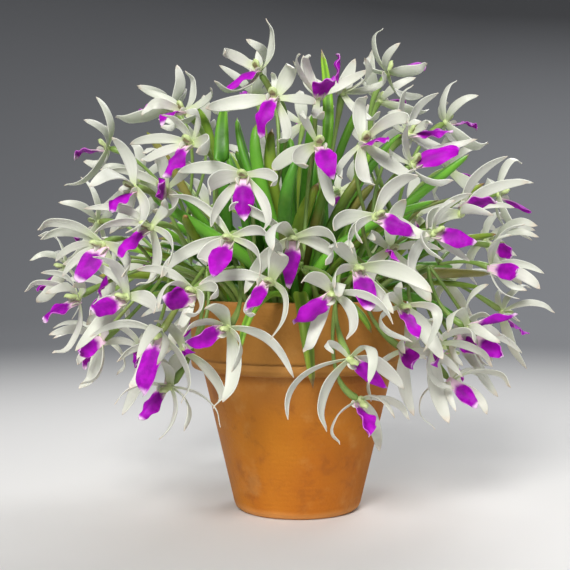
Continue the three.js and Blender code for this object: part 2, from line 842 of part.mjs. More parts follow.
// A flower's own stalk, from the spray's fork to the back of its column
function pedicel(fork, { centre, facing }, { bend, rise, swing }) {
  const out = outOfDome(centre);
  const across = new THREE.Vector3().crossVectors(out, UP).normalize();
  const guide = moved(centre, facing, -0.45 * centre.distanceTo(fork));
  guide.addScaledVector(out, bend).addScaledVector(UP, 4 + rise * 2);
  guide.addScaledVector(across, swing * 0.5);
  return {
    curve: new THREE.QuadraticBezierCurve3(fork, guide, centre),
    keel: out,
    steps: 4,
    wide: (t) => FLOWER.pedicel * (1 + 0.35 * t),
    deep: (t) => FLOWER.pedicel * (1 + 0.35 * t),
    end: "flat",
  };
}

// The tufts' places in rings over the bark mix
function tuftPlaces() {
  return TUFT.rings.flatMap((ring, order) =>
    Array.from({ length: ring.count }, (_, k) => {
      const azimuth = rad((360 / ring.count) * (k + order / 2) + 90);
      const [x, y] = [Math.cos(azimuth) * ring.radius, Math.sin(azimuth) * ring.radius];
      return { ...ring, azimuth, base: new THREE.Vector3(x, y, MEDIUM.edge + 2) };
    }),
  );
}

// Half width of a leaf along its length: a small bulb, a neck, then the fleshy blade
function leafHalf(t) {
  const { bulb, neck, neckAt, half } = LEAF;
  if (t < neckAt) return THREE.MathUtils.mapLinear(t, 0, neckAt, bulb, neck);
  return neck + (half - neck) * Math.sin(Math.PI * (t - neckAt) ** 0.8);
}

function leaf(curve, scale) {
  return {
    curve,
    keel: moved(UP, curve.v3.clone().sub(curve.v0).normalize(), 0.01),
    steps: 5,
    wide: (t) => leafHalf(t) * scale * LEAF.flat,
    deep: (t) => leafHalf(t) * scale,
    end: "point",
  };
}

// Where a leaf starts on its tuft, turned towards where it goes
function leafBase(tuft, towards) {
  const azimuth = Math.atan2(towards.y - tuft.base.y, towards.x - tuft.base.x);
  const start = tuft.base.clone();
  start.x += Math.cos(azimuth) * TUFT.spread;
  start.y += Math.sin(azimuth) * TUFT.spread;
  return start;
}

// A leaf that shows at a known place: it rises from its tuft and comes out there
function seenLeaf(tuft, row, { reach, slim, lean, swing }) {
  const inwards = new THREE.Vector3(0, 1, 0);
  const out = moved(onDome(row.out, LEAF.outLift), inwards, swing * 0.5);
  const end = moved(onDome(row.tip, LEAF.tipLift), inwards, swing * 0.5 + lean * 0.4);
  const tip = mix(out, end, reach);
  const start = leafBase(tuft, out);
  const first = moved(start, UP, 0.4 * start.distanceTo(out));
  first.z = Math.max(first.z, POT.height + 10);
  const curve = new THREE.CubicBezierCurve3(start, first, mix(out, tip, -0.15), tip);
  return leaf(curve, (slim * row.wide) / (2 * LEAF.half));
}

// A leaf drawn by rule: it leans out from its tuft and droops towards its tip
function drawnLeaf(tuft, index, order, { reach, slim, lean, swing }) {
  const draw = draws(500 + order);
  const share = (index + 0.5) / tuft.leaves - 0.5;
  const azimuth = tuft.azimuth + rad(share * tuft.fan + (draw() - 0.5) * LEAF.turn + swing);
  const tilt = rad(tuft.tilt + (draw() - 0.5) * LEAF.sway + lean);
  const length = tuft.length * lerp(1 - LEAF.longer, 1 + LEAF.longer, draw()) * reach;
  const level = new THREE.Vector3(Math.cos(azimuth), Math.sin(azimuth), 0);
  const way = level.multiplyScalar(Math.sin(tilt)).addScaledVector(UP, Math.cos(tilt));
  const start = leafBase(tuft, moved(tuft.base, way, length));
  const first = moved(start, UP, length * LEAF.rise);
  const second = moved(moved(start, way, length * LEAF.bend), UP, length * LEAF.droop);
  return leaf(new THREE.CubicBezierCurve3(start, first, second, moved(start, way, length)), slim);
}

// The far side's blooms, each with the spray that it belongs to
function farRows() {
  return Array.from({ length: FAR.count }, (_, i) => {
    const draw = draws(900 + i);
    const z = lerp(FAR.top, FAR.bottom, (i + 0.5) / FAR.count);
    const around = Math.PI * (0.02 + 0.96 * ((i * FAR.turn) % 1));
    const ring = Math.sqrt(1 - z * z);
    const lift = FAR.lift + draw() * FAR.vary;
    const place = new THREE.Vector3(Math.cos(around) * ring, Math.sin(around) * ring, z);
    const sector = Math.min(FAR.sectors - 1, Math.floor((around / Math.PI) * FAR.sectors));
    const spray = FAR.spray + sector * 2 + (z > FAR.tier ? 0 : 1);
    place.multiply(DOME.half).multiplyScalar(lift).add(DOME.centre).add(FAR.offset);
    return { spray, place };
  });
}

const twoDigits = (number) => String(number).padStart(2, "0");
const sprayName = (number) => `flower_spray_${twoDigits(number)}`;
const tuftName = (number) => `leaf_tuft_${twoDigits(number)}`;
const lipName = (number) => `lip_${twoDigits(number)}`;

function keepBall(ball, radius, detail) {
  const alone = new Growth();
  alone.ball(ball.centre, radius, detail);
  keep(alone.solid(), [ball]);
  return ball;
}

// The pieces that everything else keeps clear of
const pot = potSolid();
keep(pot, []);
const tufts = tuftPlaces().map((tuft, i) => {
  const growth = new Growth();
  const ball = keepBall(growth.ball(tuft.base, TUFT.knob, 1), TUFT.knob, 1);
  return { ...tuft, node: tuftName(i + 1), growth, ball, own: [] };
});

// Sprays: a growth each, with a ball at its fork and one in each flower
const rows = [...BLOOMS, ...farRows()];
const blooms = rows.map((row, index) => ({ ...bloomPlace(row, index), node: sprayName(row.spray) }));
const sprays = [...new Set(blooms.map((bloom) => bloom.node))].sort().map((node) => {
  const own = blooms.filter((bloom) => bloom.node === node);
  return { node, growth: new Growth(), blooms: own, place: sprayPlace(own) };
});
for (const { growth, blooms: own } of sprays) {
  for (const bloom of own) {
    bloom.ball = keepBall(growth.ball(bloom.centre, FLOWER.ball, 0), FLOWER.ball, 0);
    settle([bloom.ball], COLUMN_TURNS, (turn) => column(bloom, turn));
  }
}
for (const spray of sprays) {
  const { growth, place } = spray;
  const fork = forkOf(place);
  const ball = keepBall(growth.ball(fork, FLOWER.fork, 0), FLOWER.fork, 0);
  spray.stem = settle([ball], STALK_TURNS, (turn) => stalk(place, fork, turn));
  for (const bloom of spray.blooms) {
    settle([ball, bloom.ball], PEDICEL_TURNS, (turn) => pedicel(fork, bloom, turn));
  }
}

// Lips: the first ones and those with no room at their ball are pieces of their own
const ownLips = [];
for (const bloom of blooms) {
  const make = (turn) => lip(bloom, turn);
  if (ownLips.length >= LIPS && settle([bloom.ball], TURNS, make)) continue;
  const own = settle([], LIP_TURNS, make);
  if (own) ownLips.push(own);
}
for (const bloom of blooms) {
  for (const end of bloom.ends) settle([bloom.ball], TURNS, (turn) => tepal(bloom, end, turn));
}

// Leaves last, between the flowers. A leaf comes from the first near tuft that has room for it.
function nearTufts(point) {
  const off = (tuft) => Math.hypot(tuft.base.x * 2 - point.x, tuft.base.y * 2 - point.y);
  return [...tufts].sort((a, b) => off(a) - off(b)).slice(0, TUFT.tries);
}
function grow(tuft, make) {
  const made = settle([tuft.ball], LEAF_TURNS, make);
  if (made) tuft.own.push(made);
  return made;
}
for (const row of LEAVES) {
  const near = nearTufts(onDome(row.out, LEAF.outLift));
  near.some((tuft) => grow(tuft, (turn) => seenLeaf(tuft, row, turn)));
}
tufts.forEach((tuft, i) => {
  for (let k = 0; k < tuft.leaves; k++) grow(tuft, (turn) => drawnLeaf(tuft, k, i * 10 + k, turn));
});

// The bark with a plain hole for each stalk and a round pit for each tuft. A leaf that still dips
// into the bark gets a hole of its own.
function holedMedium() {
  const { pit, pitSides, smooth } = MEDIUM;
  const pits = tufts.map(({ base }) => {
    const floor = base.z - TUFT.knob - GAP;
    const height = MEDIUM.crown + 2 * MEDIUM.chips - floor;
    const shape = new THREE.CylinderGeometry(pit.top, pit.floor, height, pitSides);
    return solid(shape.rotateX(Math.PI / 2).translate(base.x, base.y, floor + height / 2));
  });
  const shaft = (limb) => limbSolid(limb, GAP, limb.seats);
  const stems = sprays.map((spray) => shaft(spray.stem));
  const pitted = mediumSolid().subtract(wasm.Manifold.union([...pits, ...stems]));
  const low = tufts.flatMap((tuft) => tuft.own.map(shaft)).filter((leaf) => meet(pitted, leaf) > 0);
  return pitted.subtract(wasm.Manifold.union(low)).simplify(smooth);
}

const MATERIALS = {
  clay: new THREE.MeshStandardMaterial({ color: COLOURS.clay, roughness: 0.85 }),
  bark: new THREE.MeshStandardMaterial({ color: COLOURS.bark, roughness: 0.95 }),
  leaf: new THREE.MeshStandardMaterial({ color: COLOURS.leaf, roughness: 0.45 }),
  petal: new THREE.MeshStandardMaterial({ color: COLOURS.petal, roughness: 0.6 }),
  lip: new THREE.MeshStandardMaterial({ color: COLOURS.lip, roughness: 0.55 }),
};

const plant = new THREE.Group();

function add(name, made, material) {
  const { vertProperties, triVerts } = made.getMesh();
  const geometry = new THREE.BufferGeometry();
  geometry.setAttribute("position", new THREE.BufferAttribute(vertProperties, 3));
  geometry.setIndex(new THREE.BufferAttribute(triVerts, 1));
  geometry.computeVertexNormals();
  const mesh = new THREE.Mesh(geometry, material);
  mesh.name = name;
  plant.add(mesh);
}

add("pot", pot, MATERIALS.clay);
add("potting_medium", holedMedium(), MATERIALS.bark);
for (const { node, growth } of tufts) add(node, growth.solid(), MATERIALS.leaf);
for (const { node, growth } of sprays) add(node, growth.solid(), MATERIALS.petal);
ownLips.forEach((limb, i) => add(lipName(i + 1), limbSolid(limb), MATERIALS.lip));

export default plant;
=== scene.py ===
# %% [markdown]
# # A potted Leptotes bicolor
# This small orchid has fleshy round leaves and a dome of narrow white flowers, each with a purple
# lip, over a plain clay pot. The CAD model already holds every stem, leaf and flower at its true
# place, as plain faceted solids. Here each solid is dressed: the same curves carry smooth blades
# and tubes, and shaders add the colours, veins and wear. We start by loading that fixed frame.

# %% Load the frame
import math
import random

import bmesh
import bpy
from mathutils import Matrix, Vector


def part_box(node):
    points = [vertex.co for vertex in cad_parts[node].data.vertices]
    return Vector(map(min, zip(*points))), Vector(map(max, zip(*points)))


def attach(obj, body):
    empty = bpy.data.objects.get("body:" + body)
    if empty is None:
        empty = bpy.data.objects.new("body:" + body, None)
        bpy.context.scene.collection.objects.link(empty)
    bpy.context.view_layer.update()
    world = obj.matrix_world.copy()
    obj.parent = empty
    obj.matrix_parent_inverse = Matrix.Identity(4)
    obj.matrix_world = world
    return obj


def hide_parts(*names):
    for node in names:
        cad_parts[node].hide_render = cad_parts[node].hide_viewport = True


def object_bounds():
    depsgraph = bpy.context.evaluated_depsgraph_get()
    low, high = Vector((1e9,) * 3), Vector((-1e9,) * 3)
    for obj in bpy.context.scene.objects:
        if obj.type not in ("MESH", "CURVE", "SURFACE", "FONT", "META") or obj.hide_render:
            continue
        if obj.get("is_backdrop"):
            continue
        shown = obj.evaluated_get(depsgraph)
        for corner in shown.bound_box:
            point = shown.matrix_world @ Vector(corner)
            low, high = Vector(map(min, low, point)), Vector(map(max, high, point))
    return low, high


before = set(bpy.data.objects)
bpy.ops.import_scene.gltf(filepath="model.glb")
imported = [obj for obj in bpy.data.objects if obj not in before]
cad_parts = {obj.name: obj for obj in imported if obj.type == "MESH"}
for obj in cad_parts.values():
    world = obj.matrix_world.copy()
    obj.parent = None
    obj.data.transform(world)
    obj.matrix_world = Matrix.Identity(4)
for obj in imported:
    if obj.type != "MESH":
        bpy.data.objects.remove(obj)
cad_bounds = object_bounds()
MM = 0.001
print("CAD nodes:", len(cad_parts))

# %% [markdown]
# ## The camera
# The picture was taken from almost the height of the leaves, a little above the pot's rim. We
# could turn the camera until the picture looks right, but the frame already says where things
# are, so the eye's place, the focal length in pixels and the row of the horizon give the camera
# directly.

# %% Camera
PICTURE_PX = 570
HORIZON_PX = 252
FOCAL_PX = 1094
SENSOR_MM = 36
NEAREST = 10 * MM
EYE = Vector((-6, -522, 122)) * MM

lens = bpy.data.cameras.new("camera")
lens.sensor_width = SENSOR_MM
lens.lens = SENSOR_MM * FOCAL_PX / PICTURE_PX
lens.clip_start = NEAREST
camera = bpy.data.objects.new("camera", lens)
camera.location = EYE
tilt = math.atan((PICTURE_PX / 2 - HORIZON_PX) / FOCAL_PX)
camera.rotation_euler = (math.pi / 2 - tilt, 0, 0)
bpy.context.collection.objects.link(camera)
bpy.context.scene.camera = camera
print("lens", round(lens.lens, 1), "mm, tilted", round(math.degrees(tilt), 1), "degrees down")

# %% [markdown]
# ## Faces that look outwards
# A flower is many small closed shells, and each has to face outwards, or it is lit and printed
# wrong. The usual recalculation judges a shell by one far face, which fails on thin blades. So
# the space that each shell holds is measured as well, and a shell that holds less than nothing is
# turned round.

# %% Faces
def islands(mesh):
    """The faces of a bmesh in groups that hang together."""
    left = set(mesh.faces)
    for start in mesh.faces:
        if start not in left:
            continue
        left.remove(start)
        group, edge_on = [], [start]
        while edge_on:
            face = edge_on.pop()
            group.append(face)
            beside = {other for edge in face.edges for other in edge.link_faces} & left
            left -= beside
            edge_on += beside
        yield group


def volume(faces):
    """Six times the space that closed faces hold: below nothing where they look inwards."""
    total = 0
    for face in faces:
        first, *rest = [vert.co for vert in face.verts]
        total += sum(first.dot(a.cross(b)) for a, b in zip(rest, rest[1:]))
    return total


def face_outwards(mesh):
    bmesh.ops.recalc_face_normals(mesh, faces=mesh.faces)
    for group in list(islands(mesh)):
        if volume(group) < 0:
            bmesh.ops.reverse_faces(mesh, faces=group)


shell = bmesh.new()
bmesh.ops.create_icosphere(shell, subdivisions=1, radius=1)
bmesh.ops.reverse_faces(shell, faces=shell.faces)
inside_out = volume(shell.faces)
face_outwards(shell)
print("a ball inside out:", round(inside_out, 1), "and turned:", round(volume(shell.faces), 1))
shell.free()


# %% [markdown]
# ## Finished pieces
# Every new piece is made in a bmesh and then becomes one object at the origin, with its place in
# its mesh. One function does that step, so that no piece forgets its body or the CAD solid that
# it stands for.

# %% Pieces
def finished(name, mesh, materials, replaced, smooth=True):
    """Turns a bmesh into a shown piece that rides on the part."""
    face_outwards(mesh)
    data = bpy.data.meshes.new(name)
    for face in mesh.faces:
        face.smooth = smooth
    mesh.to_mesh(data)
    mesh.free()
    for material in materials:
        data.materials.append(material)
    piece = bpy.data.objects.new(name, data)
    bpy.context.collection.objects.link(piece)
    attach(piece, "root")
    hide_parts(*replaced)
    return piece


# %% [markdown]
# ## Bent grids
# Petals, lips, leaves and stalks are all one thing to the maker: a flat grid that is bent into
# place. Each grid keeps a UV map that says how far across and along it a point lies, and a tone
# of its own, so that a finish can treat every blade a little differently.

# %% Grids
def new_mesh():
    """An empty bmesh. Its grids keep how far across and along they run as a UV map, and a tone."""
    mesh = bmesh.new()
    mesh.loops.layers.uv.new("UVMap")
    mesh.verts.layers.float.new("tone")
    return mesh


def sheet(mesh, across, along, place, material=0, tone=0.5):
    """Adds a grid whose corners go where place(u, v) says, u from -1 to 1 and v from 0 to 1."""
    made = bmesh.ops.create_grid(
        mesh, x_segments=across, y_segments=along, size=1, calc_uvs=True
    )
    toned = mesh.verts.layers.float["tone"]
    for vert in made["verts"]:
        vert.co = place(vert.co.x, (vert.co.y + 1) / 2)
        vert[toned] = tone
    paint(made["verts"], material)
    return made["verts"]


def paint(verts, material):
    """Gives the faces around some corners one of the piece's materials."""
    for face in {face for vert in verts for face in vert.link_faces}:
        face.material_index = material


def smoothstep(low, high, value):
    share = min(1, max(0, (value - low) / (high - low)))
    return share * share * (3 - 2 * share)


sample = new_mesh()
corners = sheet(sample, 2, 3, lambda u, v: Vector((u, v, smoothstep(0, 1, v))))
print("a grid of 2 by 3 faces has", len(corners), "corners")
sample.free()


# %% [markdown]
# ## Reading the limbs back
# Each CAD solid of the plant is a few faceted balls with limbs drawn out of their faces: sepals,
# lips, columns, leaves and stems. The curves could be listed again here, but the solids already
# hold them. A limb ends in a point, and from there every ring of three corners leads to the next
# one, until the ball. A stalk ends in a flat foot instead, at one height for all of them.

# %% Walk along a solid
STALK_FOOT = 79 * MM
TOUCH = 0.001 * MM


def welded(name):
    mesh = bmesh.new()
    mesh.from_mesh(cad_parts[name].data)
    bmesh.ops.remove_doubles(mesh, verts=mesh.verts, dist=TOUCH)
    return mesh


def beyond(ring, seen):
    return {edge.other_vert(vert) for vert in ring for edge in vert.link_edges} - seen


def walk(start):
    """The rings of three corners from a limb's end back to the ball that it grows from."""
    seen, rings = set(start), []
    ring = beyond(start, seen)
    while len(ring) == 3:
        rings.append(ring)
        seen |= ring
        ring = beyond(ring, seen)
    return rings


def pointed(mesh):
    """The ends of a solid's limbs, sorted by place, so that every run draws in the same order."""
    tips = [vert for vert in mesh.verts if len(vert.link_edges) == 3]
    tips = [vert for vert in tips if abs(vert.co.z - STALK_FOOT) > TOUCH]
    return sorted(tips, key=lambda vert: tuple(round(value, 6) for value in vert.co))


sample = welded("flower_spray_01")
print("flower_spray_01:", len(sample.verts), "corners,", len(pointed(sample)), "limb ends")


# %% [markdown]
# ## Limbs
# The middles of the rings lie on a smooth curve, so a polynomial through them gives the limb's
# path. A path of straight steps would be simpler, but every blade would show its joints. Each
# limb runs from 0 at its foot to 1 at its end.

# %% Limbs
SMALL_STEP = 0.01


def middle(points):
    """The mean of some points, added up in one order, so that every run gets the same digits."""
    return sum(sorted(points, key=tuple), Vector()) / len(points)


class Limb:
    """A path through samples at even steps, with the blade's side and half width at each."""

    def __init__(self, stations):
        self.stations = stations

    def point(self, t):
        total = Vector()
        for ti, spot, _, _ in self.stations:
            weight = 1
            for tj, _, _, _ in self.stations:
                if tj != ti:
                    weight *= (t - tj) / (ti - tj)
            total += spot * weight
        return total

    def tangent(self, t):
        return (self.point(t + SMALL_STEP) - self.point(t - SMALL_STEP)).normalized()

    def between(self, t):
        """The two measured stations around a place and the share between them."""
        measured = [station for station in self.stations if station[2]]
        after = next((i for i, s in enumerate(measured) if s[0] > t), len(measured) - 1)
        low, high = measured[max(0, after - 1)], measured[after]
        if low is high:
            return low, high, 0
        return low, high, min(1, max(0, (t - low[0]) / (high[0] - low[0])))

    def side(self, t):
        low, high, share = self.between(t)
        mixed = low[2].lerp(high[2], share)
        forward = self.tangent(t)
        return (mixed - forward * mixed.dot(forward)).normalized()

    def half(self, t):
        low, high, share = self.between(t)
        return low[3] + (high[3] - low[3]) * share

    def length(self, steps=8):
        spots = [self.point(k / steps) for k in range(steps + 1)]
        return sum((b - a).length for a, b in zip(spots, spots[1:]))


straight = Limb([(0, Vector(), None, 0), (1, Vector((0, 0, MM)), None, 0)])
print("a straight limb of 1 mm measures", round(straight.length() / MM, 3), "mm")


# %% [markdown]
# ## From rings to limbs
# A ring is a flat triangle: its longest side lies across the blade, so it tells which way the
# blade faces and how wide it is there, and its third corner is the keel underneath.

# %% Rings
def longest_side(ring):
    corners = sorted((vert.co for vert in ring), key=tuple)
    pairs = [(corners[i], corners[(i + 1) % 3], corners[(i + 2) % 3]) for i in range(3)]
    return max(pairs, key=lambda pair: (pair[1] - pair[0]).length)


def limb_of(rings, last, first=None):
    """A limb from its rings, given from its end to its start, and the points of its ends."""
    steps = len(rings) + 1
    spots = [middle([vert.co for vert in ring]) for ring in rings]
    path = Limb([(1, last, None, 0)])
    for k, spot in enumerate(spots):
        path.stations.insert(0, ((steps - 1 - k) / steps, spot, None, 0))
    if first:
        path.stations.insert(0, (0, first, None, 0))
    stations = list(path.stations)
    for k, ring in enumerate(rings):
        place = (steps - 1 - k) / steps
        a, b, keel = longest_side(ring)
        side = (b - a).normalized()
        if side.cross(path.tangent(place)).dot(keel - spots[k]) < 0:
            side.negate()
        index = next(i for i, station in enumerate(stations) if station[0] == place)
        stations[index] = (place, spots[k], side, (b - a).length / 2)
    return Limb(stations)


tip = pointed(sample)[0]
first_limb = limb_of(walk([tip])[:-1], tip.co.copy())
print("its first limb is", round(first_limb.length() / MM, 1), "mm long")
sample.free()


# %% [markdown]
# ## Reading a spray
# A spray is a stalk that stands in the bark, a fork, and one short flower stalk to the ball in
# each flower. Its limbs are told apart by their number of rings: a column has one, a sepal or
# petal two, and a lip four. What is left between the fork's ball and the flowers' balls are the
# flower stalks.

# %% Read sprays
COLUMN_RINGS, TEPAL_RINGS, LIP_RINGS = 1, 2, 4
BLOOM_BALL, FORK_BALL = 2.2 * MM, 2 * MM
BALL_SLACK = 0.02 * MM


def near(vert, centre, radius):
    return (vert.co - centre).length < radius + BALL_SLACK


def read_spray(name):
    mesh = welded(name)
    used, kinds = set(), {COLUMN_RINGS: [], TEPAL_RINGS: [], LIP_RINGS: []}
    for tip in pointed(mesh):
        rings = walk([tip])[:-1]
        used |= {tip}.union(*rings)
        kinds[len(rings)].append(limb_of(rings, tip.co.copy()))
    foot = [vert for vert in mesh.verts if abs(vert.co.z - STALK_FOOT) < TOUCH]
    rings = walk(foot)[:-1]
    used |= set(foot).union(*rings)
    stalk = limb_of(rings, middle([vert.co for vert in foot]))
    fork = stalk.point(0)
    centres = [column.point(0) for column in kinds[COLUMN_RINGS]]
    balls = {vert for vert in mesh.verts if any(near(vert, c, BLOOM_BALL) for c in centres)}
    fork_ball = {vert for vert in mesh.verts if near(vert, fork, FORK_BALL)}
    left = set(mesh.verts) - used - balls - fork_ball
    pedicels = read_pedicels(left, fork, fork_ball, centres, balls)
    mesh.free()
    return {
        "stalk": stalk,
        "columns": kinds[COLUMN_RINGS],
        "tepals": kinds[TEPAL_RINGS],
        "lips": kinds[LIP_RINGS],
        "pedicels": pedicels,
    }


def read_pedicels(left, fork, fork_ball, centres, balls):
    """The flower stalks among the corners that belong to nothing else."""
    limbs = []
    starts = beyond(fork_ball, fork_ball) & left
    while starts:
        seed = min(starts, key=lambda vert: tuple(vert.co))
        ring = {seed} | (beyond([seed], {seed}) & starts)
        starts -= ring
        rings, seen = [ring], set(ring)
        while len(ring) == 3:
            ring = beyond(ring, seen | fork_ball) & left
            if not ring:
                break
            rings.append(ring)
            seen |= ring
        end = next(iter(beyond(rings[-1], seen) & balls))
        centre = min(centres, key=lambda c: (end.co - c).length)
        limbs.append(limb_of(rings[::-1], centre, fork))
    return limbs


spray_names = sorted(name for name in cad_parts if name.startswith("flower_spray"))
sprays = {name: read_spray(name) for name in spray_names}
for name, spray in sprays.items():
    counts = {kind: len(spray[kind]) for kind in ("columns", "tepals", "lips", "pedicels")}
    print(name, counts, "stalk", round(spray["stalk"].length() / MM), "mm")

# %% [markdown]
# ## Colours
# Colours are easiest to judge as a screen shows them, from 0 to 255. Shaders work with linear
# light, so one function turns a screen's colour into that.

# %% Colours
def srgb(red, green, blue):
    """A colour given as a screen shows it, as the linear colour that shaders use."""
    shares = [value / 255 for value in (red, green, blue)]
    linear = [s / 12.92 if s <= 0.04045 else ((s + 0.055) / 1.055) ** 2.4 for s in shares]
    return (*linear, 1)


print("a screen's middle grey is", round(srgb(128, 128, 128)[0], 3), "in linear light")


# %% [markdown]
# ## Shader sums
# A finish is mostly arithmetic: noise times a mask, one minus a band. Wired by hand that takes a
# page of links, so a small class wraps a socket and turns Python's operators into Math nodes.
# Colours go through Mix nodes instead, because a Math node would turn them grey. Every node comes
# from one method.

# %% Shader helpers
class Signal:
    """A socket of a finish that can stand in sums."""

    def __init__(self, finish, socket):
        self.finish, self.socket = finish, socket

    def sum(self, operation, first, second):
        return self.finish.node("ShaderNodeMath", {"operation": operation}, {0: first, 1: second})

    def __add__(self, other):
        return self.sum("ADD", self, other)

    def __sub__(self, other):
        return self.sum("SUBTRACT", self, other)

    def __rsub__(self, other):
        return self.sum("SUBTRACT", other, self)

    def __mul__(self, other):
        return self.sum("MULTIPLY", self, other)

    __radd__ = __add__
    __rmul__ = __mul__


class Finish:
    """A material that is written as expressions and ends in one Principled shader."""

    def __init__(self, name, **surface):
        self.material = bpy.data.materials.new(name)
        self.material.use_nodes = True
        self.nodes = self.material.node_tree.nodes
        self.links = self.material.node_tree.links
        self.shader = self.nodes["Principled BSDF"]
        for socket, value in surface.items():
            self.shader.inputs[socket.replace("_", " ")].default_value = value

    def node(self, kind, settings=None, values=None, output=0):
        made = self.nodes.new(kind)
        for setting, value in (settings or {}).items():
            setattr(made, setting, value)
        for socket, value in (values or {}).items():
            self.feed(made.inputs[socket], value)
        return Signal(self, made.outputs[output])

    def feed(self, socket, value):
        if isinstance(value, Signal):
            self.links.new(value.socket, socket)
        else:
            socket.default_value = value

    def surface(self, socket, value):
        self.feed(self.shader.inputs[socket], value)

    def place(self):
        return self.node("ShaderNodeTexCoord", output="Object")

    def uv(self):
        return self.node("ShaderNodeUVMap", {"uv_map": "UVMap"})

    def tone(self):
        """What a piece drew for each of its blades, from 0 to 1."""
        return self.node("ShaderNodeAttribute", {"attribute_name": "tone"}, output="Fac")

    def height(self):
        split = self.node("ShaderNodeSeparateXYZ", values={0: self.place()}).socket.node
        return Signal(self, split.outputs[2])

    def across_and_along(self):
        split = self.node("ShaderNodeSeparateXYZ", values={0: self.uv()}).socket.node
        return Signal(self, split.outputs[0]), Signal(self, split.outputs[1])

    def off_middle(self, across):
        """How far a point lies from the middle line of its blade, from 0 to 0.5."""
        return self.node("ShaderNodeMath", {"operation": "ABSOLUTE"}, {0: across - 0.5})

    def wave(self, value):
        return self.node("ShaderNodeMath", {"operation": "SINE"}, {0: value})

    def noise(self, scale, detail=3, roughness=0.55, stretch=None):
        place = self.place()
        if stretch:
            place = self.node("ShaderNodeMapping", values={"Vector": place, "Scale": stretch})
        values = {"Vector": place, "Scale": scale, "Detail": detail, "Roughness": roughness}
        return self.node("ShaderNodeTexNoise", values=values)

    def band(self, value, low, high, start=0, end=1):
        """Rises smoothly from start to end while a value goes from low to high."""
        settings = {"interpolation_type": "SMOOTHSTEP"}
        values = {0: value, 1: low, 2: high, 3: start, 4: end}
        return self.node("ShaderNodeMapRange", settings, values)

    def mix(self, factor, first, second):
        settings = {"data_type": "RGBA"}
        return self.node("ShaderNodeMix", settings, {0: factor, 6: first, 7: second}, output=2)

    def bump(self, height, distance, strength):
        values = {"Height": height, "Distance": distance, "Strength": strength}
        self.surface("Normal", self.node("ShaderNodeBump", values=values))


trial = Finish("trial")
trial.surface("Roughness", 1 - trial.noise(10))
print("one minus a noise takes", len(trial.nodes), "nodes with the shader's own two")
bpy.data.materials.remove(trial.material)


# %% [markdown]
# ## Petal white
# The sepals and petals are thin, waxy and not quite white: greenish where they join the flower,
# with faint veins that run along them. The grids' own UV map says how far across and along a
# blade each point lies, so veins and the green base follow every curve without any picture.

# %% Petal finish
def petal_finish():
    finish = Finish("petal_white", Roughness=0.5, Subsurface_Weight=0.12, Subsurface_Scale=4 * MM)
    finish.shader.inputs["Subsurface Radius"].default_value = (1, 1, 0.7)
    across, along = finish.across_and_along()
    cloud = finish.noise(60, detail=2)
    wander = finish.noise(130, detail=1)
    ripple = finish.wave(across * 30 + wander * 5)
    veins = finish.band(ripple, 0.2, 1) * finish.band(along, 0.95, 0.3) * wander
    white = finish.mix(finish.tone(), srgb(221, 225, 214), srgb(203, 209, 193))
    white = finish.mix(cloud * 0.5, white, srgb(217, 214, 204))
    green = finish.band(along + cloud * 0.16 - finish.tone() * 0.12, 0.34, 0.04)
    white = finish.mix(green * 0.7, white, srgb(196, 212, 150))
    blush = finish.band(along + cloud * 0.2, 0.98, 1.12)
    white = finish.mix(blush * 0.5, white, srgb(206, 176, 148))
    finish.surface("Base Color", finish.mix(veins * 0.2, white, srgb(176, 188, 160)))
    finish.bump(veins * 0.5 + finish.noise(900) * 0.4, 0.08 * MM, 0.4)
    return finish.material


petal_white = petal_finish()
print(petal_white.name, "nodes:", len(petal_white.node_tree.nodes))


# %% [markdown]
# ## Lip purple
# The lip is a strong purple, frosted along its edge and nearly white at its foot and its tip.
# Painted shade darkens its throat and some patches, and painted highlights brighten others. A
# gradient alone would look printed, so noise breaks every border, and each lip has a tone of its
# own.

# %% Lip finish
def lip_finish():
    finish = Finish("lip_magenta", Roughness=0.6, Specular_IOR_Level=0.2)
    across, along = finish.across_and_along()
    cloud = finish.noise(420, detail=2)
    off_middle = finish.off_middle(across)
    tone = finish.tone()
    purple = finish.mix(tone, srgb(178, 0, 194), srgb(142, 0, 158))
    # painted highlight: patches of brighter purple, where the blade would catch the light
    highlight_patches = finish.band(cloud, 0.35, 0.65)
    purple = finish.mix(highlight_patches * 0.5, purple, srgb(194, 16, 208))
    # painted shade: patches of deeper purple
    shade_patches = finish.band(finish.noise(180, detail=1), 0.5, 0.7)
    purple = finish.mix(shade_patches * 0.5, purple, srgb(126, 0, 142))
    # painted shade: the throat, the middle of the lip's lower half, is darkened
    throat_shade = finish.band(off_middle, 0.22, 0.02) * finish.band(along, 0.8, 0.4)
    purple = finish.mix(throat_shade * 0.55, purple, srgb(112, 0, 126))
    edge = finish.band(off_middle + cloud * 0.05, 0.47, 0.52)
    purple = finish.mix(edge * 0.7, purple, srgb(228, 132, 230))
    pale = finish.band(along + cloud * 0.1 - off_middle * 0.22 - tone * 0.1, 0.24, 0.1)
    purple = finish.mix(pale, purple, srgb(242, 206, 230))
    tip = finish.band(along + tone * 0.12 + cloud * 0.06, 0.98, 1.1)
    finish.surface("Base Color", finish.mix(tip, purple, srgb(238, 206, 238)))
    finish.bump(finish.noise(900), 0.2 * MM, 0.5)
    return finish.material


lip_magenta = lip_finish()
print(lip_magenta.name, "nodes:", len(lip_magenta.node_tree.nodes))


# %% [markdown]
# ## Flower greens
# The column is a pale waxy green. Its underside past the middle is painted brown and dark: partly
# its own brown, partly painted shade under its hood. Stalks and ovaries are a deeper green with a
# red flush in patches. Both are fleshy and smooth, so most of their look is soft gloss.

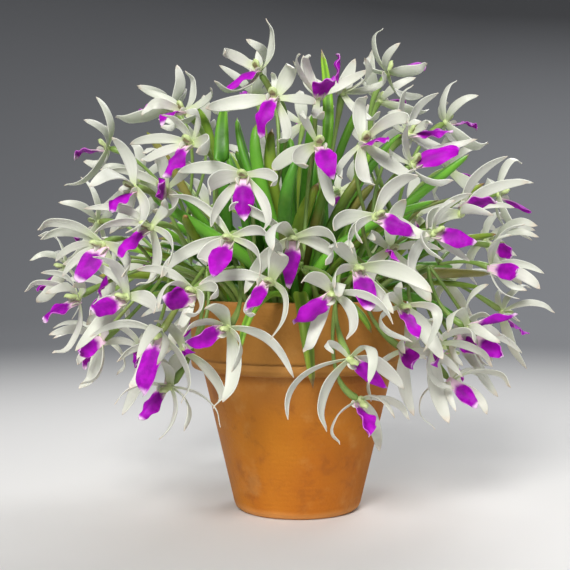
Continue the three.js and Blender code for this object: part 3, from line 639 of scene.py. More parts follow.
# %% Green finishes
def column_finish():
    finish = Finish("column_green", Roughness=0.42)
    across, along = finish.across_and_along()
    cloud = finish.noise(300, detail=2)
    green = finish.mix(cloud, srgb(214, 226, 172), srgb(178, 200, 122))
    off_top = finish.off_middle(across)
    # partly the column's own brown and partly painted shade: its underside, past the middle, is
    # darkened
    brown_and_shade_underneath = finish.band(off_top + cloud * 0.06, 0.36, 0.46) * finish.band(along, 0.4, 0.6)
    finish.surface("Base Color", finish.mix(brown_and_shade_underneath * 0.8, green, srgb(112, 94, 56)))
    finish.bump(cloud, 0.2 * MM, 0.4)
    return finish.material


def stem_finish():
    finish = Finish("stem_green", Roughness=0.42)
    cloud = finish.noise(160)
    green = finish.mix(cloud, srgb(146, 172, 92), srgb(104, 140, 60))
    red = finish.band(finish.noise(70), 0.52, 0.7)
    finish.surface("Base Color", finish.mix(red * 0.35, green, srgb(126, 86, 70)))
    finish.bump(finish.noise(700, stretch=(1, 1, 0.25)), 0.15 * MM, 0.5)
    return finish.material


column_green = column_finish()
stem_green = stem_finish()
for material in (column_green, stem_green):
    print(material.name, "nodes:", len(material.node_tree.nodes))

# %% [markdown]
# ## Blades
# A sepal or petal is a narrow strap: it opens from its foot, keeps its width for most of its
# length and closes to a short point that curls forward. Its blade is a grid laid along the limb's
# path, closer at its edges, so that only a thin rim looks round. Drawing the blades by hand,
# flower by flower, would take days, so each one draws its own fold, twist and hook from a seeded
# row of numbers. A thin wall is then given to all the blades of a spray at once.

# %% Tepals
TEPAL_GRID = (6, 18)
TEPAL_TWIST = math.radians(32)
MOST_HOOK, MOST_WAVE = 5.5 * MM, 0.4 * MM
STRAP_FOOT, STRAP_OPEN = 0.46, 0.46
FULL_TURN = 6.28


def strap(v, blunt):
    """Half width of a sepal or petal along its length, as a share of its widest."""
    opened = STRAP_FOOT + (1 - STRAP_FOOT) * smoothstep(0, STRAP_OPEN, v)
    closed = (1 - v**blunt) ** 0.65
    return max(0.02, opened * closed)


def tepal_place(limb, draw):
    half = max(limb.half(1 / 3), limb.half(2 / 3)) * draw.uniform(1.02, 1.26)
    blunt = draw.uniform(2.2, 4.6)
    fold = draw.uniform(0.06, 0.26)
    twist = draw.uniform(-TEPAL_TWIST, TEPAL_TWIST)
    hook = MOST_HOOK * draw.random() ** 2
    wave = draw.uniform(0, MOST_WAVE)
    phase = draw.uniform(0, FULL_TURN)

    def place(u, v):
        u = math.sin(u * math.pi / 2)
        forward, side = limb.tangent(v), limb.side(v)
        back = side.cross(forward)
        turned = side * math.cos(twist * v) + back * math.sin(twist * v)
        out = turned.cross(forward)
        width = half * strap(v, blunt)
        channel = fold * width * (1 - u * u) - hook * smoothstep(0.68, 1, v) ** 1.5
        ripple = wave * math.sin(9 * v + phase) * u * u * math.sin(math.pi * v)
        pulled = limb.point(v) - forward * hook * 0.35 * smoothstep(0.8, 1, v)
        return pulled + turned * (u * width) + out * (channel + ripple)

    return place


print("a strap's half width:", [round(strap(k / 5, 3), 2) for k in range(6)])


# %% [markdown]
# ## Lips
# The lip is the flower's third petal. Its pale foot starts under the column, with a small ear on
# each side that hugs it, and then it widens into a purple blade whose edges roll back, with a
# raised line along its middle and a pale point. It is the same kind of grid as a sepal with
# another outline, and no two are rolled or twisted alike.

# %% Lips
LIP_GRID = (10, 18)
LIP_START = -0.2
LIP_FOOT, LIP_WIDE = 0.38, 1.16
LIP_TWIST = math.radians(30)
RIDGE = 0.4 * MM


def lip_outline(v, widest, tail):
    """Half width of a lip: two slopes that meet in a soft corner at its widest point."""
    opened = LIP_FOOT + (LIP_WIDE - LIP_FOOT) * v / widest
    closed = tail + (LIP_WIDE - tail) * (1 - v) / (1 - widest)
    softened = (opened**-5 + closed**-5) ** (-1 / 5)
    return softened * max(0.04, 1 - smoothstep(0.93, 1.02, v))


def lip_place(limb, draw):
    half = max(limb.half(k / 5) for k in (2, 3)) * draw.uniform(0.85, 1.2)
    widest, skew = draw.uniform(0.4, 0.58), draw.uniform(-0.1, 0.1)
    tail = draw.uniform(0.1, 0.42)
    roll, fold = draw.uniform(-0.1, 0.5), draw.uniform(-0.35, 0.45)
    twist = draw.uniform(-LIP_TWIST, LIP_TWIST)
    curl = draw.uniform(-1.5, 3.2) * MM
    frill = draw.uniform(0.5, 1.3) * MM
    waves, phase = draw.uniform(10, 20), draw.uniform(0, FULL_TURN)

    def place(u, v):
        u = math.sin(u * math.pi / 2)
        t = LIP_START + v * (1 - LIP_START)
        forward, side = limb.tangent(t), limb.side(max(0.2, t))
        back = side.cross(forward)
        turned = side * math.cos(twist * v) + back * math.sin(twist * v)
        out = turned.cross(forward)
        width = half * lip_outline(v, widest + skew * math.copysign(1, u), tail)
        blade = smoothstep(0.15, 0.5, v)
        rolled = width * blade * (roll * abs(u) ** 2.4 + fold * abs(u))
        ridge = RIDGE * math.exp(-18 * u * u) * math.sin(math.pi * v)
        waved = frill * math.sin(waves * v + 2 * u + phase) * abs(u) ** 2 * blade
        lifted = curl * smoothstep(0.7, 1, v) ** 1.5
        drawn_in = 1 - (0.22 * max(0, roll) + 0.12 * abs(fold)) * u * u
        spot = limb.point(t) + turned * (u * width * drawn_in)
        return spot + out * (lifted + rolled - ridge + waved)

    return place


print("a lip's half width:", [round(lip_outline(k / 5, 0.5, 0.3), 2) for k in range(6)])


# %% [markdown]
# The ears could be cut into the lip's outline, but they stand up beside it, so each is a small
# curved sheet of its own that starts at the lip's foot.

# %% Ears
EAR_GRID = (6, 3)
EAR_AT, EAR_LONG, EAR_HIGH = 0.03, 0.2, 2.2 * MM
EAR_BEND = math.radians(70)


def ear_place(limb, turn):
    """One of the two small rounded ears at the lip's foot."""
    half = limb.half(0.4) * LIP_FOOT

    def place(u, v):
        t = LIP_START + (EAR_AT + EAR_LONG * (u + 1) / 2) * (1 - LIP_START)
        forward, side = limb.tangent(t), limb.side(max(0.2, t))
        back = side.cross(forward)
        high = EAR_HIGH * math.sqrt(max(0, 1 - 0.98 * u * u))
        bend = v * EAR_BEND
        out = side * (turn * (half * 0.85 + 0.6 * high * math.sin(bend)))
        return limb.point(t) + out - back * (high * math.sin(bend * 0.9))

    return place


def add_lip(mesh, limb, draw, blade, pale):
    """Adds a lip with its ears, which take the pale finish of the two."""
    sheet(mesh, *LIP_GRID, lip_place(limb, draw), blade, draw.random())
    for turn in (-1, 1):
        sheet(mesh, *EAR_GRID, ear_place(limb, turn), pale)


print("a lip has", math.prod(LIP_GRID) + 2 * math.prod(EAR_GRID), "faces before its wall")


# %% [markdown]
# ## Tubes
# Stems, columns and leaves are round. A tube could be a curve with a bevel, but then its
# thickness, its groove and its UV map are hard to steer, so it is the same grid again, rolled up:
# across runs around it. At both ends its radius goes to nothing, and merging the doubles closes
# the seam and the poles.

# %% Tubes
SEAM = 0.01 * MM


def tube(mesh, limb, sides, along, material, radius, groove=0, flat=1, tone=0.5):
    """Rolls a grid around a limb. The groove is how deep it is pressed in along its upper side."""

    def place(u, v):
        forward, side = limb.tangent(v), limb.side(v)
        back = side.cross(forward)
        angle = math.pi * u
        size = radius(v)
        pressed = size * (1 - groove * math.exp(-((angle / 0.6) ** 2)) * smoothstep(0.15, 0.4, v))
        spot = limb.point(v) + back * (math.cos(angle) * pressed)
        return spot + side * (math.sin(angle) * size * flat)

    verts = sheet(mesh, sides, along, place, material, tone)
    bmesh.ops.remove_doubles(mesh, verts=verts, dist=SEAM)


def rounded(v, share):
    """A tube's radius near its ends: a quarter circle over a share of its length."""
    near_end = min(v, 1 - v) / share
    return math.sqrt(1 - (1 - near_end) ** 2) if near_end < 1 else 1


def swollen(radius, more):
    """A flower stalk thickens into the green ovary behind the flower."""
    return lambda v: radius * (1 + more * smoothstep(0.55, 0.9, v)) * rounded(v, 0.06)


print("a swollen stalk's radius:", [round(swollen(1, 1)(k / 5), 2) for k in range(6)])


# %% [markdown]
# ## Columns
# The column is the short green middle of the flower. A plain tube would look like a peg, so its
# upper side reaches out over its flatter underside, as a hood does. A small ball at its foot is
# the end of the ovary, where the blades meet.

# %% Columns
COLUMN_GRID = (12, 9)
COLUMN_HALF = 1.55 * MM
COLUMN_END = 1.1
HOOD = 0.9 * MM
FOOT_BALL = 0.8 * BLOOM_BALL


def column_place(limb):
    forward = limb.tangent(0.5)
    side = forward.cross(Vector((0, 0, 1))).normalized()
    up = side.cross(forward)

    def place(u, v):
        angle = math.pi * u
        rise = math.cos(angle)
        size = COLUMN_HALF * (0.8 + 0.3 * smoothstep(0.3, 0.75, v)) * rounded(v, 0.34)
        spot = limb.point(v * COLUMN_END) + forward * (HOOD * rise * v)
        spot += up * (rise * size * (0.8 + 0.2 * rise))
        return spot + side * (math.sin(angle) * size * 1.25)

    return place


def add_column(mesh, limb, material):
    verts = sheet(mesh, *COLUMN_GRID, column_place(limb), material)
    bmesh.ops.remove_doubles(mesh, verts=verts, dist=SEAM)
    made = bmesh.ops.create_icosphere(mesh, subdivisions=2, radius=FOOT_BALL)
    bmesh.ops.translate(mesh, verts=made["verts"], vec=limb.point(0))
    paint(made["verts"], material)


print("columns:", sum(len(spray["columns"]) for spray in sprays.values()))


# %% [markdown]
# ## The sprays
# Now the pieces come together. Each spray becomes one object with four finishes: white blades,
# purple lips, green columns and green stems. The blades get their wall first, because a tube is
# closed already and needs none.

# %% Sprays
PETAL, LIP, COLUMN, STEM = range(4)
FLOWER_MATERIALS = [petal_white, lip_magenta, column_green, stem_green]
SPRAY_SEED = 100
BLADE_WALL = 0.34 * MM
STALK_RADIUS, PEDICEL_RADIUS = 1.35 * MM, 0.85 * MM
OVARY_MORE = 0.9
STEM_GRID = (8, 16)


def walled(mesh):
    bmesh.ops.recalc_face_normals(mesh, faces=mesh.faces)
    bmesh.ops.solidify(mesh, geom=mesh.faces[:], thickness=BLADE_WALL)


def spray_mesh(spray, draw):
    mesh = new_mesh()
    for limb in spray["tepals"]:
        sheet(mesh, *TEPAL_GRID, tepal_place(limb, draw), PETAL, draw.random())
    for limb in spray["lips"]:
        add_lip(mesh, limb, draw, LIP, PETAL)
    walled(mesh)
    for limb in spray["columns"]:
        add_column(mesh, limb, COLUMN)
    tube(mesh, spray["stalk"], *STEM_GRID, STEM, swollen(STALK_RADIUS, 0))
    for limb in spray["pedicels"]:
        tube(mesh, limb, *STEM_GRID, STEM, swollen(PEDICEL_RADIUS, OVARY_MORE))
    return mesh


total = 0
for order, (name, spray) in enumerate(sprays.items()):
    mesh = spray_mesh(spray, random.Random(SPRAY_SEED + order))
    total += len(mesh.faces)
    finished(f"{name}_blooms", mesh, FLOWER_MATERIALS, [name])
print("sprays:", len(sprays), "faces:", total)

# %% [markdown]
# ## Lips that are pieces of their own
# Some lips are separate solids in the CAD model. They are read from their tip like the others. A
# lip's grid starts a little before its limb does, so its foot reaches the column and no gap
# shows.

# %% Own lips
OWN_LIP_MATERIALS = [lip_magenta, petal_white]
LIP_SEED = 300


def read_lip(name):
    mesh = welded(name)
    ways = [(walk([tip]), tip) for tip in pointed(mesh)]
    rings, tip = max(ways, key=lambda way: len(way[0]))
    limb = limb_of(rings[:LIP_RINGS], tip.co.copy())
    mesh.free()
    return limb


lip_names = sorted(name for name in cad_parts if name.startswith("lip"))
for order, name in enumerate(lip_names):
    mesh = new_mesh()
    add_lip(mesh, read_lip(name), random.Random(LIP_SEED + order), blade=0, pale=1)
    walled(mesh)
    finished(f"{name}_blade", mesh, OWN_LIP_MATERIALS, [name])
print("own lips:", len(lip_names))

# %% [markdown]
# ## Leaves
# Each leaf is a fleshy rod with a groove along its upper side, on a short thick stem that swells
# like a small bulb. Its colour runs from olive at the base to fresh green, yellower high up in
# the light, and old tips turn brown. One green would look like plastic, so each leaf has a tone
# of its own, and slow noise over the whole plant shifts the green once more.

# %% Leaf finish
SUNLIT_LOW, SUNLIT_HIGH = 160 * MM, 220 * MM


def leaf_finish():
    soft = {"Subsurface_Weight": 0.06, "Subsurface_Scale": 4 * MM}
    finish = Finish("leaf_green", Specular_IOR_Level=0.38, **soft)
    across, along = finish.across_and_along()
    tone = finish.tone()
    slow = finish.noise(34, detail=1)
    fine = finish.noise(420)
    green = finish.mix(finish.band(tone, 0, 0.7), srgb(44, 116, 26), srgb(116, 192, 54))
    yellowed = finish.band(tone, 0.62, 0.78)
    green = finish.mix(yellowed * 0.8, green, srgb(146, 154, 50))
    shaded = finish.band(slow, 0.4, 0.7)
    green = finish.mix(shaded * 0.5, green, srgb(34, 96, 24))
    green = finish.mix(fine * 0.25, green, srgb(150, 200, 80))
    sunlit = finish.band(finish.height(), SUNLIT_LOW, SUNLIT_HIGH)
    green = finish.mix(sunlit * 0.6, green, srgb(164, 208, 56))
    olive = finish.band(along + slow * 0.3 + tone * 0.2, 0.42, 0.12)
    green = finish.mix(olive * 0.8, green, srgb(122, 126, 50))
    aged = finish.band(tone - slow * 0.3, 0.0, -0.1)
    green = finish.mix(aged * 0.7, green, srgb(156, 134, 74))
    # painted shade: the groove along the leaf's upper side is darkened
    groove = finish.band(finish.off_middle(across), 0.1, 0.02)
    green = finish.mix(groove * 0.55, green, srgb(28, 84, 24))
    brown = finish.band(along + fine * 0.04 + tone * 0.07, 1.01, 1.07)
    finish.surface("Base Color", finish.mix(brown, green, srgb(150, 116, 74)))
    finish.surface("Roughness", finish.band(fine, 0.2, 0.9, 0.4, 0.6))
    finish.bump(fine + finish.noise(1500) * 0.4, 0.18 * MM, 0.5)
    return finish.material


leaf_green = leaf_finish()
print(leaf_green.name, "nodes:", len(leaf_green.node_tree.nodes))


# %% [markdown]
# The small bulbs that the leaves grow from are wrapped in dry brown skins. Noise that is drawn
# out along their height gives the fibres of those skins.

# %% Bulb finish
def bulb_finish():
    finish = Finish("bulb_brown", Roughness=0.7)
    fibres = finish.noise(900, stretch=(1, 1, 0.12))
    patches = finish.band(finish.noise(120), 0.42, 0.62)
    brown = finish.mix(patches, srgb(116, 104, 58), srgb(92, 70, 44))
    finish.surface("Base Color", finish.mix(fibres * 0.6, brown, srgb(168, 150, 104)))
    finish.bump(fibres, 0.5 * MM, 0.7)
    return finish.material


bulb_brown = bulb_finish()
print(bulb_brown.name, "nodes:", len(bulb_brown.node_tree.nodes))

# %% [markdown]
# ## The tufts
# A leaf is the rolled grid again, with a radius of its own along its length. The leaves of one
# tuft are one object, with the bulb that they share at its foot.

# %% Leaves
LEAF_RINGS = 4
LEAF_GRID = (14, 26)
GROOVE, LEAF_FLAT = 0.5, 1.25


def leaf_radius(limb, draw):
    """A small bulb at the foot, a neck, a long even blade and a quick taper to the tip."""
    half = limb.half(0.6) * draw.uniform(0.94, 1.1)

    def radius(v):
        bulb = 0.7 * math.exp(-(((v - 0.05) / 0.07) ** 2))
        blade = 0.66 + 0.34 * smoothstep(0.1, 0.45, v)
        taper = (1 - smoothstep(0.76, 1.05, v)) ** 0.45
        return half * (bulb + blade * taper) * rounded(v, 0.04)

    return radius


def read_tuft(name):
    solid = welded(name)
    limbs = [limb_of(walk([tip])[:LEAF_RINGS], tip.co.copy()) for tip in pointed(solid)]
    solid.free()
    return limbs


tuft_names = sorted(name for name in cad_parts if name.startswith("leaf_tuft"))
tufts = {name: read_tuft(name) for name in tuft_names}
print("leaves in each tuft:", [len(limbs) for limbs in tufts.values()])

# %% Tufts
LEAF, BULB = range(2)
LEAF_MATERIALS = [leaf_green, bulb_brown]
LEAF_SEED = 500
BULB_RADIUS = 6 * MM
BULB_FLAT, BULB_UP = 0.7, 0.8


def tuft_mesh(limbs, lowest, draw):
    mesh = new_mesh()
    for limb in limbs:
        shape = {"radius": leaf_radius(limb, draw), "groove": GROOVE, "flat": LEAF_FLAT}
        tube(mesh, limb, *LEAF_GRID, LEAF, tone=draw.random(), **shape)
    add_bulb(mesh, middle([limb.point(0) for limb in limbs]), lowest)
    return mesh


def add_bulb(mesh, centre, lowest):
    made = bmesh.ops.create_icosphere(mesh, subdivisions=3, radius=BULB_RADIUS)
    for vert in made["verts"]:
        vert.co.z *= BULB_FLAT
        vert.co += Vector((centre.x, centre.y, lowest + BULB_UP * BULB_RADIUS))
    paint(made["verts"], BULB)


for order, (name, limbs) in enumerate(tufts.items()):
    low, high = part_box(name)
    mesh = tuft_mesh(limbs, low[2], random.Random(LEAF_SEED + order))
    print(name, "faces:", len(mesh.faces), "height:", round((high[2] - low[2]) / MM), "mm")
    finished(f"{name}_leaves", mesh, LEAF_MATERIALS, [name])

# %% [markdown]
# ## Worn clay
# Water and salts leave old clay mottled, and the rim band is duller than the body. Painted shade
# sits under the rim, a painted highlight lies along the bulge low on the rim, the top of the rim
# is rubbed pale, and the foot's edge is painted pale as a reflection.
# All of that lies at certain heights, so the masks are bands over the height, and noise makes
# their borders uneven.

# %% Pot finish
DULL_LOW, DULL_HIGH = 58 * MM, 84 * MM
RIM_LOW = 67.5 * MM
# painted shade under the rim: where it starts, where it is darkest and where it ends
UNDER_RIM_SHADE_LOW, UNDER_RIM_SHADE_MOST, UNDER_RIM_SHADE_HIGH = 65.5 * MM, 69.5 * MM, 70.5 * MM
# painted highlight along the bead low on the rim: its lowest and highest heights and how softly it
# fades
BEAD_HIGHLIGHT_LOW, BEAD_HIGHLIGHT_HIGH, BEAD_HIGHLIGHT_SOFT = 69 * MM, 73.5 * MM, 1.5 * MM
# painted reflection on the foot's edge: full up to the first height, gone at the second
FOOT_REFLECTION_FULL, FOOT_REFLECTION_END = 4.5 * MM, 8.5 * MM
TOP_CLEAN, TOP_WORN = 100 * MM, 102.5 * MM
RINGS_PER_METRE = 2600


def clay_finish():
    finish = Finish("terracotta", Specular_IOR_Level=0.28)
    height = finish.height()
    broad = finish.noise(17, detail=3, roughness=0.6)
    blotch = finish.noise(75, detail=4, roughness=0.65)
    grain = finish.noise(900, detail=2)
    runs = finish.noise(40, detail=3, stretch=(1, 1, 0.22))
    clay = finish.mix(finish.band(broad, 0.35, 0.65), srgb(202, 126, 26), srgb(184, 106, 20))
    dull = finish.band(height + broad * 0.04, DULL_LOW, DULL_HIGH)
    clay = finish.mix(dull * 0.6, clay, srgb(178, 120, 54))
    stained = finish.band(blotch, 0.5, 0.72)
    clay = finish.mix(stained * 0.6, clay, srgb(146, 82, 28))
    streaked = finish.band(runs, 0.54, 0.74)
    clay = finish.mix(streaked * 0.35, clay, srgb(156, 94, 44))
    # painted shade under the rim, with its lower border broken by noise
    under_rim_shade = finish.band(height + broad * 0.004, UNDER_RIM_SHADE_LOW, UNDER_RIM_SHADE_MOST)
    under_rim_shade = under_rim_shade * finish.band(height, UNDER_RIM_SHADE_HIGH, UNDER_RIM_SHADE_MOST)
    clay = finish.mix(under_rim_shade * 0.5, clay, srgb(120, 68, 26))
    rim = finish.band(height, RIM_LOW - MM, RIM_LOW + MM)
    clay = finish.mix(rim * 0.5, clay, srgb(192, 140, 68))
    # painted highlight: a pale band along the bead low on the rim
    bead_highlight = finish.band(height, BEAD_HIGHLIGHT_LOW, BEAD_HIGHLIGHT_LOW + BEAD_HIGHLIGHT_SOFT)
    bead_highlight = bead_highlight * finish.band(height, BEAD_HIGHLIGHT_HIGH, BEAD_HIGHLIGHT_HIGH - BEAD_HIGHLIGHT_SOFT)
    clay = finish.mix(bead_highlight * 0.4, clay, srgb(216, 158, 88))
    # painted reflection: the foot's edge is painted pale
    foot = finish.band(height + broad * 0.006, FOOT_REFLECTION_END, FOOT_REFLECTION_FULL)
    clay = finish.mix(foot * 0.7, clay, srgb(218, 156, 88))
    top = finish.band(height + blotch * 0.004, TOP_CLEAN, TOP_WORN)
    clay = finish.mix(top * 0.5, clay, srgb(206, 150, 96))
    salts = finish.band(finish.noise(60, detail=5), 0.56, 0.74)
    clay = finish.mix(salts * 0.35, clay, srgb(210, 158, 88))
    finish.surface("Base Color", finish.mix(grain * 0.2, clay, srgb(150, 88, 28)))
    finish.surface("Roughness", finish.band(runs, 0.3, 0.8, 0.55, 0.85))
    rings = finish.wave(height * RINGS_PER_METRE)
    finish.bump(grain * 0.5 + blotch * 0.8 + rings * 0.05, 0.7 * MM, 0.5)
    return finish.material


terracotta = clay_finish()
print(terracotta.name, "nodes:", len(terracotta.node_tree.nodes))

# %% [markdown]
# ## The clay pot
# A clay pot is thrown or pressed, so it is round at every height. Stacked cylinders would leave
# hard seams, so its profile is drawn once and spun around, with many more steps than the CAD
# solid has sides. Each corner of the profile is cut back into a short arc, which catches the
# light as worn clay does.

# %% Pot profile
# How far out a corner lies, how high, and how much of it is cut back, all in millimetres
POT_PROFILE = [
    (7, 0, 0.6),
    (29.5, 0, 3.4),
    (45.3, 67.3, 0.5),
    (50.3, 67.4, 1.6),
    (50.9, 71.4, 1.6),
    (50.1, 75.5, 3),
    (52, 100, 2.2),
    (47, 100, 2.2),
    (40.6, 67.5, 3),
    (26.1, 7, 3),
    (7, 7, 1),
]
CORNER_STEPS = 3


def rounded_profile(points, steps):
    """The corners of a closed outline, each cut back into a short arc of its own size."""
    spots = []
    corners = [Vector((out, 0, high)) for out, high, _ in points]
    for i, here in enumerate(corners):
        before, after = corners[i - 1], corners[(i + 1) % len(corners)]
        cut = points[i][2]
        start = here + (before - here).normalized() * cut
        end = here + (after - here).normalized() * cut
        for step in range(steps + 1):
            t = step / steps
            spots.append((1 - t) ** 2 * start + 2 * t * (1 - t) * here + t * t * end)
    return spots


pot_outline = rounded_profile(POT_PROFILE, CORNER_STEPS)
print("points in the pot's outline:", len(pot_outline))

# %% Pot
POT_STEPS = 128


def pot_mesh():
    mesh = new_mesh()
    verts = [mesh.verts.new(spot * MM) for spot in pot_outline]
    edges = [mesh.edges.new((verts[i - 1], verts[i])) for i in range(len(verts))]
    bmesh.ops.spin(
        mesh,
        geom=verts + edges,
        cent=(0, 0, 0),
        axis=(0, 0, 1),
        angle=2 * math.pi,
        steps=POT_STEPS,
        use_merge=True,
    )
    bmesh.ops.remove_doubles(mesh, verts=mesh.verts, dist=SEAM)
    bmesh.ops.recalc_face_normals(mesh, faces=mesh.faces)
    return mesh


pot = finished("clay_pot", pot_mesh(), [terracotta], ["pot"])
print("pot faces:", len(pot.data.polygons))

# %% [markdown]
# ## The bark mix
# Behind the rim a little of the dark bark mix shows. A noisy disc would read as soil, so chips of
# bark are laid over it: each is a block with bevelled edges, turned and tilted by a seeded draw.

# %% Bark finish
def bark_finish():
    finish = Finish("bark_dark", Roughness=0.9)
    broad = finish.noise(160)
    grain = finish.noise(1200, stretch=(1, 0.2, 1))
    bark = finish.mix(finish.band(broad, 0.35, 0.65), srgb(36, 26, 20), srgb(84, 60, 42))
    finish.surface("Base Color", finish.mix(grain * 0.5, bark, srgb(120, 92, 66)))
    finish.bump(grain + broad, 0.8 * MM, 0.8)
    return finish.material


bark_dark = bark_finish()
print(bark_dark.name, "nodes:", len(bark_dark.node_tree.nodes))

# %% Bark chips
MEDIUM_RADIUS = 44 * MM
MEDIUM_LOW, MEDIUM_EDGE, MEDIUM_CROWN = 7.4 * MM, 88 * MM, 93 * MM
# The least and most length, width and thickness in millimetres, and the most turn about each axis
CHIP_SIZES = ((3, 8), (2.5, 5), (1.2, 2.6))
CHIP_TURNS = (("X", 0.5), ("Y", 0.5), ("Z", 3.1))
CHIP_BEVEL, CHIP_SUNK = 0.35 * MM, 1.4 * MM


def medium_height(x, y):
    """The top of the mix: a low dome that ends at the pot's wall."""
    share = min(1, math.hypot(x, y) / MEDIUM_RADIUS)
    return MEDIUM_EDGE + (MEDIUM_CROWN - MEDIUM_EDGE) * (1 - share * share)


def add_chip(mesh, spot, draw):
    spot.z = medium_height(spot.x, spot.y) - CHIP_SUNK
    made = bmesh.ops.create_cube(mesh, size=1)
    verts = made["verts"]
    sizes = [draw.uniform(least, most) * MM for least, most in CHIP_SIZES]
    bmesh.ops.scale(mesh, verts=verts, vec=sizes)
    for axis, most in CHIP_TURNS:
        turn = Matrix.Rotation(draw.uniform(-most, most), 3, axis)
        bmesh.ops.rotate(mesh, verts=verts, matrix=turn)
    edges = list(dict.fromkeys(edge for vert in verts for edge in vert.link_edges))
    bmesh.ops.translate(mesh, verts=verts, vec=spot)
    bmesh.ops.bevel(
        mesh,
        geom=edges,
        offset=CHIP_BEVEL,
        affect="EDGES",
        segments=1,
        profile=0.5,
        material=-1,
    )


sample = new_mesh()
add_chip(sample, Vector(), random.Random(0))
print("faces of a chip:", len(sample.faces))
sample.free()


# %% [markdown]
# Under the chips lies one solid body that fills the pot, so that nothing looks hollow between
# them. It is a plain cone with its top face inset and raised, because only a sliver of it can be
# seen.

# %% Bark mix
BODY_SIDES = 48
BODY_FOOT, BODY_TOP = 22 * MM, 43.5 * MM
BODY_INSET, BODY_SUNK = 12 * MM, 1 * MM
CHIPS, CHIP_SEED, CHIP_REACH = 240, 700, 40 * MM


def medium_body(mesh):
    made = bmesh.ops.create_cone(
        mesh,
        cap_ends=True,
        segments=BODY_SIDES,
        radius1=BODY_FOOT,
        radius2=BODY_TOP,
        depth=MEDIUM_EDGE - MEDIUM_LOW,
    )
    bmesh.ops.translate(mesh, verts=made["verts"], vec=(0, 0, (MEDIUM_EDGE + MEDIUM_LOW) / 2))
    top = [face for face in mesh.faces if face.normal.z > 0.9]
    bmesh.ops.inset_region(mesh, faces=top, thickness=BODY_INSET)
    raised = Vector((0, 0, MEDIUM_CROWN - MEDIUM_EDGE - BODY_SUNK))
    bmesh.ops.translate(mesh, verts=list(top[0].verts), vec=raised)


def medium_mesh():
    mesh = new_mesh()
    medium_body(mesh)
    draw = random.Random(CHIP_SEED)
    for _ in range(CHIPS):
        off, angle = math.sqrt(draw.random()) * CHIP_REACH, draw.uniform(0, FULL_TURN)
        add_chip(mesh, Vector((off * math.cos(angle), off * math.sin(angle), 0)), draw)
    return mesh


mix = finished("bark_mix", medium_mesh(), [bark_dark], ["potting_medium"], smooth=False)
print("bark mix faces:", len(mix.data.polygons))

# %% [markdown]
# ## Floor and light
# The plant stands on a plain pale floor. It could be a flat sheet, but from some side its edge
# would show, so its profile is a line that curves up far out, and it is spun into a wide round
# bowl. Away from the plant the floor turns grey, which lets the white flowers stand out from it
# on all sides.

# %% Floor
# In metres: where the floor starts to curve, how far out and up it goes, where it is pale and grey
FLOOR_FLAT, FLOOR_HALF, FLOOR_HIGH = 1.4, 4.4, 3.2
FLOOR_PALE, FLOOR_GREY = 0.12, 1.0
FLOOR_STEPS, FLOOR_TURNS = 24, 64


def floor_mesh():
    mesh = bmesh.new()
    verts = [mesh.verts.new((0, 0, 0))]
    for step in range(FLOOR_STEPS + 1):
        share = step / FLOOR_STEPS
        off = FLOOR_FLAT + (FLOOR_HALF - FLOOR_FLAT) * share
        verts.append(mesh.verts.new((off, 0, FLOOR_HIGH * share**2)))
    edges = [mesh.edges.new(pair) for pair in zip(verts, verts[1:])]
    bmesh.ops.spin(
        mesh,
        geom=verts + edges,
        cent=(0, 0, 0),
        axis=(0, 0, 1),
        angle=2 * math.pi,
        steps=FLOOR_TURNS,
        use_merge=True,
    )
    bmesh.ops.remove_doubles(mesh, verts=mesh.verts, dist=MM)
    bmesh.ops.recalc_face_normals(mesh, faces=mesh.faces)
    if sum(face.normal.z for face in mesh.faces) < 0:
        bmesh.ops.reverse_faces(mesh, faces=mesh.faces)
    return mesh


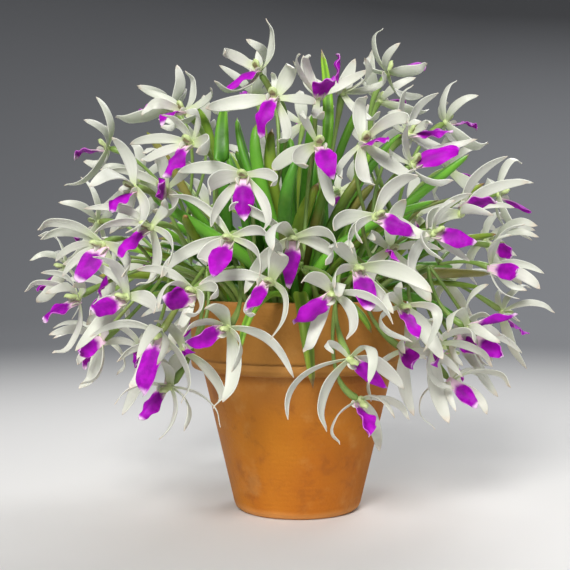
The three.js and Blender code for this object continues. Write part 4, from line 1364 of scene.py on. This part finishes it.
def add_floor():
    finish = Finish("floor_pale", Roughness=0.9)
    settings = {"operation": "LENGTH"}
    off = finish.node("ShaderNodeVectorMath", settings, {0: finish.place()}, output=1)
    grey = finish.band(off, FLOOR_PALE, FLOOR_GREY)
    finish.surface("Base Color", finish.mix(grey, srgb(222, 222, 222), srgb(108, 110, 114)))
    mesh = floor_mesh()
    data = bpy.data.meshes.new("floor")
    for face in mesh.faces:
        face.smooth = True
    mesh.to_mesh(data)
    mesh.free()
    data.materials.append(finish.material)
    floor = bpy.data.objects.new("floor", data)
    bpy.context.collection.objects.link(floor)
    floor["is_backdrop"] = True
    return floor


print("floor faces:", len(add_floor().data.polygons))


# %% [markdown]
# One large soft light stands at the upper left, where the pot is brightest, with weaker ones to
# fill the shaded side and to edge the flowers from behind. They stand well back, or they would
# burn a pool of light into the floor that shows from other sides.

# %% Lights
WHITE, WARM = (1, 1, 1), (1, 0.98, 0.95)
PLANT_MIDDLE = Vector((0, 0, 0.11))
# Where each light stands and how wide it is, both in metres, its watts and its colour
LIGHTS = {
    "key": ((-0.55, -2.1, 1.5), 0.9, 76, WARM),
    "fill": ((1.9, -1.5, 1.2), 1.2, 7, WHITE),
    "back": ((0.8, 1.7, 1.9), 1.4, 48, WHITE),
}


def add_light(name, spot, size, watts, colour):
    data = bpy.data.lights.new(name, "AREA")
    data.size = size
    data.energy = watts
    data.color = colour
    light = bpy.data.objects.new(name, data)
    light.location = spot
    aim = PLANT_MIDDLE - light.location
    light.rotation_euler = aim.to_track_quat("-Z", "Y").to_euler()
    bpy.context.collection.objects.link(light)


for name, light in LIGHTS.items():
    add_light(name, *light)
print("lights:", {name: f"{light[2]} W" for name, light in LIGHTS.items()})

# %% [markdown]
# A little even light from all around keeps the deep shadows between the leaves from going black.
# The plain view transform shows the colours as they were chosen.

# %% World
WORLD_STRENGTH = 0.1

world = bpy.data.worlds.new("studio")
world.use_nodes = True
glow = world.node_tree.nodes["Background"]
glow.inputs["Color"].default_value = srgb(226, 228, 232)
glow.inputs["Strength"].default_value = WORLD_STRENGTH
bpy.context.scene.world = world
bpy.context.scene.view_settings.view_transform = "Standard"
print("world:", world.name, "with the view", bpy.context.scene.view_settings.view_transform)

# %% [markdown]
# ## Measure
# The dressed model must stay as large as the CAD model, so both boxes are printed.

# %% Finish
boxes = {"cad": cad_bounds, "visual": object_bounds()}
plain = {name: [list(corner) for corner in box] for name, box in boxes.items()}
print("boxes:", plain)
